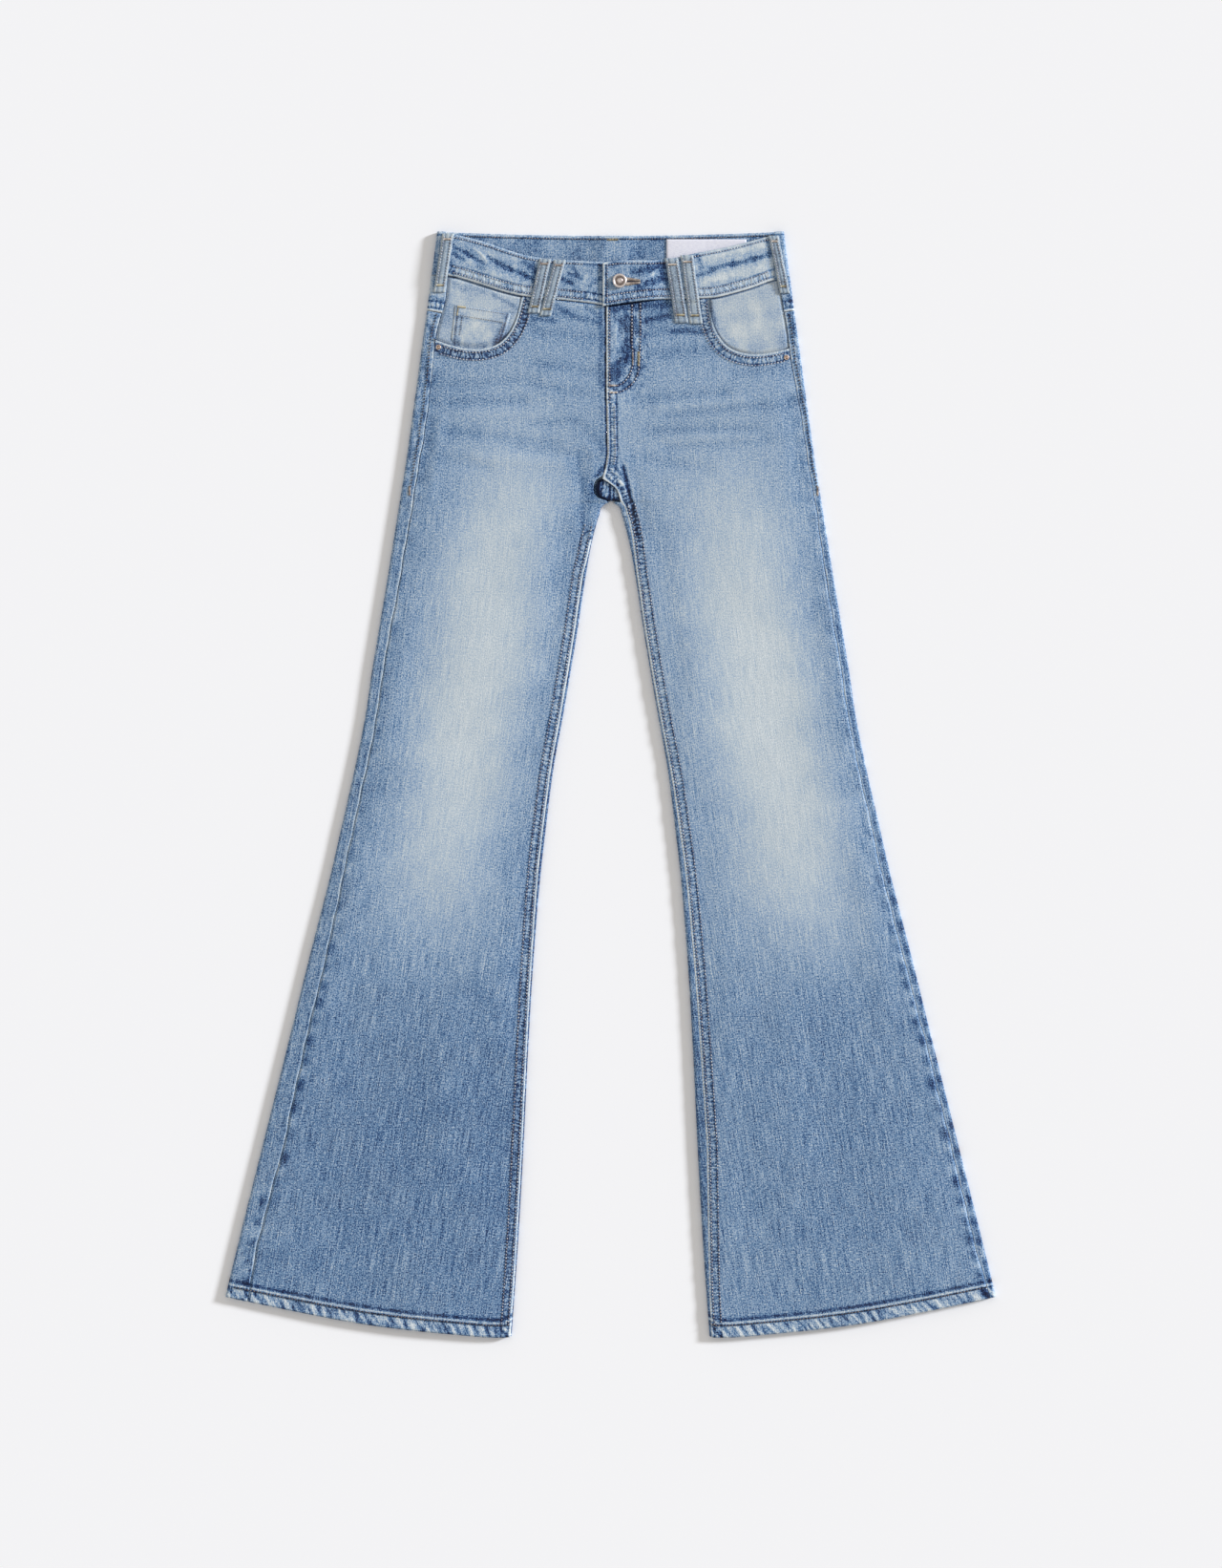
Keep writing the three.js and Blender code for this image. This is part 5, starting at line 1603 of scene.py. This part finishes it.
for side in SIDES:
    name = SIDES[side]
    seam = line_of(lambda d: front_edge(side, d), 280 if side > 0 else 300, 1112, 400)
    for offset in INSEAM_ROWS[side]:
        stitches("stitches_inseam_" + name, beside(seam, side * offset), on_front(side))
    hem = hem_line(side)
    inside = (hem[:, 0] * side > inner_fold(1110) + 1) & (hem[:, 0] * side < outer_fold(1085) - 4)
    stitches("stitches_hem_" + name, beside(hem[inside], side * HEM_ROW), on_wrap(side), share=0.52, radius=0.75)
    mouth = mouth_line(side)
    for offset in MOUTH_ROWS:
        row = beside(mouth, -side * offset)
        keep = side * row[:, 0] < outer_fold(row[:, 1]) - rolled_out(side, row[:, 1]) - 2
        keep &= row[:, 1] > band_edge(side, "bottom", side * row[:, 0]) + 1.5
        stitches("stitches_pockets_" + name, row[keep], on_front(side))
    out = line_of(lambda d: side * (outer_fold(d) - rolled_out(side, d) + OUTSEAM_ROW), 84, OUTSEAM_FOOT, 90)
    stitches("stitches_outseam_" + name, out, on_wrap(side), pitch=3.2, radius=0.6)
    across = np.linspace(28 if side < 0 else -4, SIDE_SEAM - 3, 160)
    top, bottom = band_edges_at(side, across)
    for edge, offset in ((top, 3.3), (bottom, -3.4), (bottom, -10.0)):
        line = np.stack([side * across, edge + offset], -1)
        stitches("stitches_waistband_" + name, line, on_band(side), pitch=2.9)

fold_row = np.array([(-3.2, 34.0), (-3.2, 73.5)])
stitches("stitches_waistband_right", fold_row, on_band(1), pitch=2.9)

# %% Fly stitches
for points in (J_OUTER, J_INNER):
    stitches("stitches_fly", picture_line(points), on_front(1), pitch=3.5, share=0.48)
edge_row = line_of(lambda d: front_edge(1, d) + 3.5, 80, 176, 40)
stitches("stitches_fly", edge_row, on_front(1), pitch=3.2, share=0.5)
for offset in (1.6, 8.4):
    seat = line_of(lambda d: front_edge(1, d) + offset, 178, 238, 40)
    stitches("stitches_fly", seat, on_front(1), pitch=2.6)
back_row_x = np.linspace(-150, 168, 160)
back_row = np.stack([back_row_x, back_band_top(back_row_x) + 3.2], -1)
stitches("stitches_back_band", back_row, on_back_band, pitch=2.9)


def on_coin_pocket(x, down):
    return 5.6 - coin_dip(-x, down)


COIN_ROWS = (
    ((482, 331), (531, 339)),
    ((480.5, 323), (476.5, 353)),
    ((484.5, 333), (481.5, 353)),
    ((532, 331), (526.5, 352)),
    ((527.5, 340), (522.5, 353)),
    ((480, 322), (534, 330.4)),
)
for (x0, y0), (x1, y1) in COIN_ROWS:
    ends = [from_pixel(x0, y0), from_pixel(x1, y1)]
    stitches("stitches_coin_pocket", ends, on_coin_pocket, pitch=2.4, radius=0.36)
BROWN_AREAS = ("stitches_back_band", "stitches_coin_pocket")
DARK_AREAS = ("stitches_hem_left", "stitches_hem_right", "stitches_outseam_left", "stitches_outseam_right")
for area in list(THREADS):
    usual = brown_thread if area in BROWN_AREAS else grey_thread
    finish_threads(area, dark_thread if area in DARK_AREAS else usual)

# %% Bar tacks and buttonhole
def on_loop(name):
    side, start, foot, width = LOOPS[name]

    def surface(x, down):
        share = (down - start[1]) / (foot[1] - start[1])
        middle = start[0] + (foot[0] - start[0]) * share
        return loop_height(side, middle, width, x, down, 0 * x) - 0.25

    return surface


for name, (side, start, foot, width) in LOOPS.items():
    for sign in (-1, 1):
        reach = sign * (width / 2 - 2.3)
        slope = (foot[0] - start[0]) / (foot[1] - start[1])
        first = (side * (start[0] + reach + slope * 3), start[1] + 3)
        last = (side * (foot[0] + reach - slope * 4), foot[1] - 4)
        stitches("stitches_loops", [first, last], on_loop(name), pitch=2.9)
    for share, area in ((0.1, "tacks_tan"), (0.88, "tacks_ochre")):
        middle = start[0] + (foot[0] - start[0]) * share
        down = start[1] + (foot[1] - start[1]) * share
        reach = width / 2 - 2.2
        bar_tack(area, (side * (middle - reach), down), (side * (middle + reach), down), 1.9, on_loop(name))
# Area, from column, row to column, row of the picture, width in mm, and what the tack lies on.
TACKS = [
    ("tacks_ochre", (479.5, 322), (488, 322.6), 1.9, on_coin_pocket),
    ("tacks_ochre", (480, 324), (479, 331), 1.6, on_coin_pocket),
    ("tacks_ochre", (669, 369), (669, 384), 2.0, on_front(1)),
    ("tacks_tan", (662.8, 370), (662.8, 383), 1.2, on_front(1)),
    ("tacks_tan", (637.8, 404.4), (645.6, 404.4), 1.6, on_front(1)),
    ("tacks_tan", (639, 411.7), (646.7, 411.7), 1.6, on_front(1)),
]
for area, first, last, width, surface in TACKS:
    bar_tack(area, from_pixel(*first), from_pixel(*last), width, surface)
bar_tack("tacks_ochre", (from_pixel_x(636.5), 8.0), (from_pixel_x(647.5), 8.0), 2.0, on_back_band)
for side in SIDES:
    seam_x = side * (outer_fold(OUTSEAM_FOOT) - rolled_out(side, OUTSEAM_FOOT) + OUTSEAM_ROW)
    bar_tack("tacks_tan", (seam_x, OUTSEAM_FOOT - 5), (seam_x, OUTSEAM_FOOT + 4), 1.8, on_wrap(side))

BUTTON = {"x": 9.2, "down": 50.7, "radius": 7.4, "height": 2.6, "base": 9.0}
SLIT = {"from": 12.0, "to": 30.5, "down": 51.4}
for sign in (-1, 1):
    t = np.arange(SLIT["from"], SLIT["to"], 0.62)
    half = 1.5 - 0.9 * ease(t, SLIT["from"] + 4, SLIT["to"])
    reach = 4.2 - 1.9 * ease(t, SLIT["from"] + 4, SLIT["to"] - 1) - 0.9 * ease(t, SLIT["to"] - 1.5, SLIT["to"])
    z = band_height(1, t, SLIT["down"] + 0 * t) + 0.22
    inner = to_world(t, SLIT["down"] + sign * half * 0.5, z)
    outer = to_world(t + 0.15, SLIT["down"] + sign * reach, z - 0.1)
    THREADS.setdefault("buttonhole_threads", []).append(bars(inner, outer, 0.36))
finish_threads("stitches_loops", grey_thread)
finish_threads("tacks_tan", tan_thread)
finish_threads("tacks_ochre", ochre_thread)
finish_threads("buttonhole_threads", tan_thread)

# The buttonhole's opening is a thin dark sheet: painted shade in the slit.
slit_x = np.linspace(SLIT["from"], SLIT["to"] + 0.6, 30)
slit_half = 0.75 - 0.35 * ease(slit_x, SLIT["from"] + 4, SLIT["to"] - 4)
slit_half = slit_half * (1 - ease(slit_x, SLIT["to"] - 4, SLIT["to"] - 1)) + 0.05
slit_z = band_height(1, slit_x, SLIT["down"] + 0 * slit_x) + 0.12
slit_rows = [to_world(slit_x, SLIT["down"] + sign * slit_half, slit_z) for sign in (1, -1)]
slit_points, slit_quads = wall(np.stack(slit_rows), 0.2)
slit_shade, slit_shader, _ = new_material("painted_shade_slit", 0.95)
slit_shader.inputs["Base Color"].default_value = (*srgb(44, 48, 66), 1)
make_mesh("buttonhole_slit", slit_points, slit_quads, slit_shade)

# %% [markdown]
# Metal and label. The tack button is pressed from thin sheet: a rolled rim, a deep ring and a domed middle,
# turned here as one profile round its axis. Antique nickel is dark in its hollows and bright where it rubs.
# The two copper rivets are small caps, and the label is a blank woven tape.

# %% Button and rivets
STUD_PROFILE = {
    "button": [(0, 0), (0.8, 0), (0.95, 0.12), (1, 0.35), (0.99, 0.6), (0.93, 0.88), (0.85, 1), (0.77, 0.98),
               (0.69, 0.82), (0.63, 0.56), (0.57, 0.5), (0.5, 0.52), (0.45, 0.66), (0.38, 0.82), (0.28, 0.9),
               (0.14, 0.94), (0, 0.95)],
    "rivet": [(0, 0), (0.85, 0), (0.98, 0.2), (1, 0.5), (0.92, 0.78), (0.78, 0.9), (0.64, 0.82), (0.54, 0.55),
              (0.44, 0.5), (0.36, 0.74), (0.22, 0.96), (0, 1)],
}


def make_stud(name, profile, radius, height, x, down, base, material, sides=72):
    """A profile of (radius, height) turned round its axis."""
    at = np.linspace(0, len(profile) - 1, 48)
    knots = np.arange(len(profile))
    r = smooth(knots, [p[0] for p in profile], at) * radius
    h = np.clip(smooth(knots, [p[1] for p in profile], at), 0, 1) * height
    turn = np.linspace(0, 2 * np.pi, sides, endpoint=False)
    r, h, turn_grid = np.broadcast_arrays(r[1:-1, None], h[1:-1, None], turn)
    ring = np.stack([x + r * np.cos(turn_grid), TOP - down + r * np.sin(turn_grid), base + h], -1)
    rings = ring.shape[0]
    poles = [(x, TOP - down, base), (x, TOP - down, base + h[-1, 0])]
    points = np.concatenate([ring.reshape(-1, 3), poles])
    index = np.arange(rings * sides).reshape(rings, sides)
    ahead = np.roll(index, -1, axis=1)
    quads = np.stack([index[:-1], ahead[:-1], ahead[1:], index[1:]], -1).reshape(-1, 4)
    low = np.stack([ahead[0], index[0], np.full(sides, rings * sides)], -1)
    high = np.stack([index[-1], ahead[-1], np.full(sides, rings * sides + 1)], -1)
    mesh = bpy.data.meshes.new(name)
    faces = quads.tolist() + low.tolist() + high.tolist()
    mesh.from_pydata((points * MM).tolist(), [], faces)
    mesh.polygons.foreach_set("use_smooth", np.ones(len(faces), bool))
    mesh.materials.append(material)
    piece = bpy.data.objects.new(name, mesh)
    bpy.context.collection.objects.link(piece)
    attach(piece, "root")
    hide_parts(name)
    print(name, len(faces), "faces")
    return piece


def metal_material(name, bright, dark, centre, reach, roughness):
    """Metal with a patina: bright on rubbed rims by the distance from the axis, dark in the ring between
    them."""
    material, shader, start = new_material(name, roughness, metallic=1.0, specular=0.5)
    place = start.node("ShaderNodeTexCoord", out=3)
    spots = start.noise(3.0, 900.0, Vector=place)
    centred = start.node("ShaderNodeVectorMath", {"operation": "SUBTRACT"}, i0=place, i1=centre)
    flat = start.node("ShaderNodeVectorMath", {"operation": "MULTIPLY"}, i0=centred, i1=(1, 1, 0))
    away = start.node("ShaderNodeVectorMath", {"operation": "LENGTH"}, out=1, i0=flat) * (1 / reach)
    rubbed = away.bell(0.83, 0.2) + away.bell(0.0, 0.4)
    worn = (rubbed * 0.9 + (spots - 0.5) * 0.9).above(0.1, 0.9)
    start.surface(shader, start.mix(worn, dark, bright), spots, 0.25, 0.0002)
    start.tree.links.new((spots * 0.3 + (roughness - 0.1)).output, shader.inputs["Roughness"])
    return material


def spot_in_metres(x, down):
    return (x * MM, (TOP - down) * MM, 0.0)


nickel = metal_material("antique_nickel", srgb(240, 230, 226), srgb(136, 122, 118),
                        spot_in_metres(BUTTON["x"], BUTTON["down"]), BUTTON["radius"] * MM, 0.34)
make_stud("button", STUD_PROFILE["button"], BUTTON["radius"], BUTTON["height"], BUTTON["x"], BUTTON["down"],
          BUTTON["base"], nickel)
RIVET_RADIUS = 2.6
RIVETS = {"rivet_left": (-174.6, 117.6), "rivet_right": (178.6, 128.0)}
for name, (x, down) in RIVETS.items():
    copper = metal_material("dull_copper_" + name, srgb(222, 200, 184), srgb(122, 96, 82),
                            spot_in_metres(x, down), RIVET_RADIUS * MM, 0.42)
    base = float(top_height(-1 if x < 0 else 1, np.array(x), np.array(down))) - 0.1
    make_stud(name, STUD_PROFILE["rivet"], RIVET_RADIUS, 1.0, x, down, base, copper, sides=40)

# %% Label
LABEL = {"left": 56.7, "right": 138.0, "top": 7.8, "bottom": 36.0, "height": 3.2}
label_tape, tape_shader, tape = new_material("woven_label_tape", 0.6)
tape_place = tape.node("ShaderNodeTexCoord", out=3)
tape_rib, tape_cross = (
    tape.noise(1.0, Vector=tape.node("ShaderNodeMapping", Vector=tape_place, Scale=scale))
    for scale in ((260, 2600, 1), (2200, 900, 1))
)
weave = tape_rib * 0.6 + tape_cross * 0.4
tape_colour = tape.mix(weave.above(0.3, 0.62), srgb(206, 206, 222), srgb(232, 232, 240))
tape.surface(tape_shader, tape_colour, weave, 0.5, 0.0002)

label_across = np.linspace(LABEL["left"], LABEL["right"], 60)
label_x, label_down = np.meshgrid(label_across, np.linspace(LABEL["top"], LABEL["bottom"], 30))
label_edge = np.minimum.reduce([label_x - LABEL["left"], LABEL["right"] - label_x,
                                label_down - LABEL["top"], LABEL["bottom"] - label_down])
label_z = LABEL["height"] + 0.12 * np.sin(label_x / 9) - 0.35 * bell(label_edge, 0.8)
label_paint = paint_for(label_x, label_down, 1 + 0 * label_x)
cloth("label", label_x, label_down, label_z, label_paint, label_tape,
      0.7 - 0.3 * bell(label_edge, 0.8))

# %% Zip under the fly
zip_tape, zip_shader, zipper = new_material("navy_zip_tape", 0.8)
zip_place = zipper.node("ShaderNodeTexCoord", out=3)
teeth = zipper.noise(0.0, Vector=zipper.node("ShaderNodeMapping", Vector=zip_place, Scale=(60, 900, 1)))
zip_colour = zipper.mix(teeth.above(0.4, 0.6), srgb(36, 42, 64), srgb(64, 66, 78))
zipper.tree.links.new(zip_colour.output, zip_shader.inputs["Base Color"])
zip_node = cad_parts["zip"]
zip_node.data.materials.clear()
zip_node.data.materials.append(zip_tape)
print("zip keeps its node")
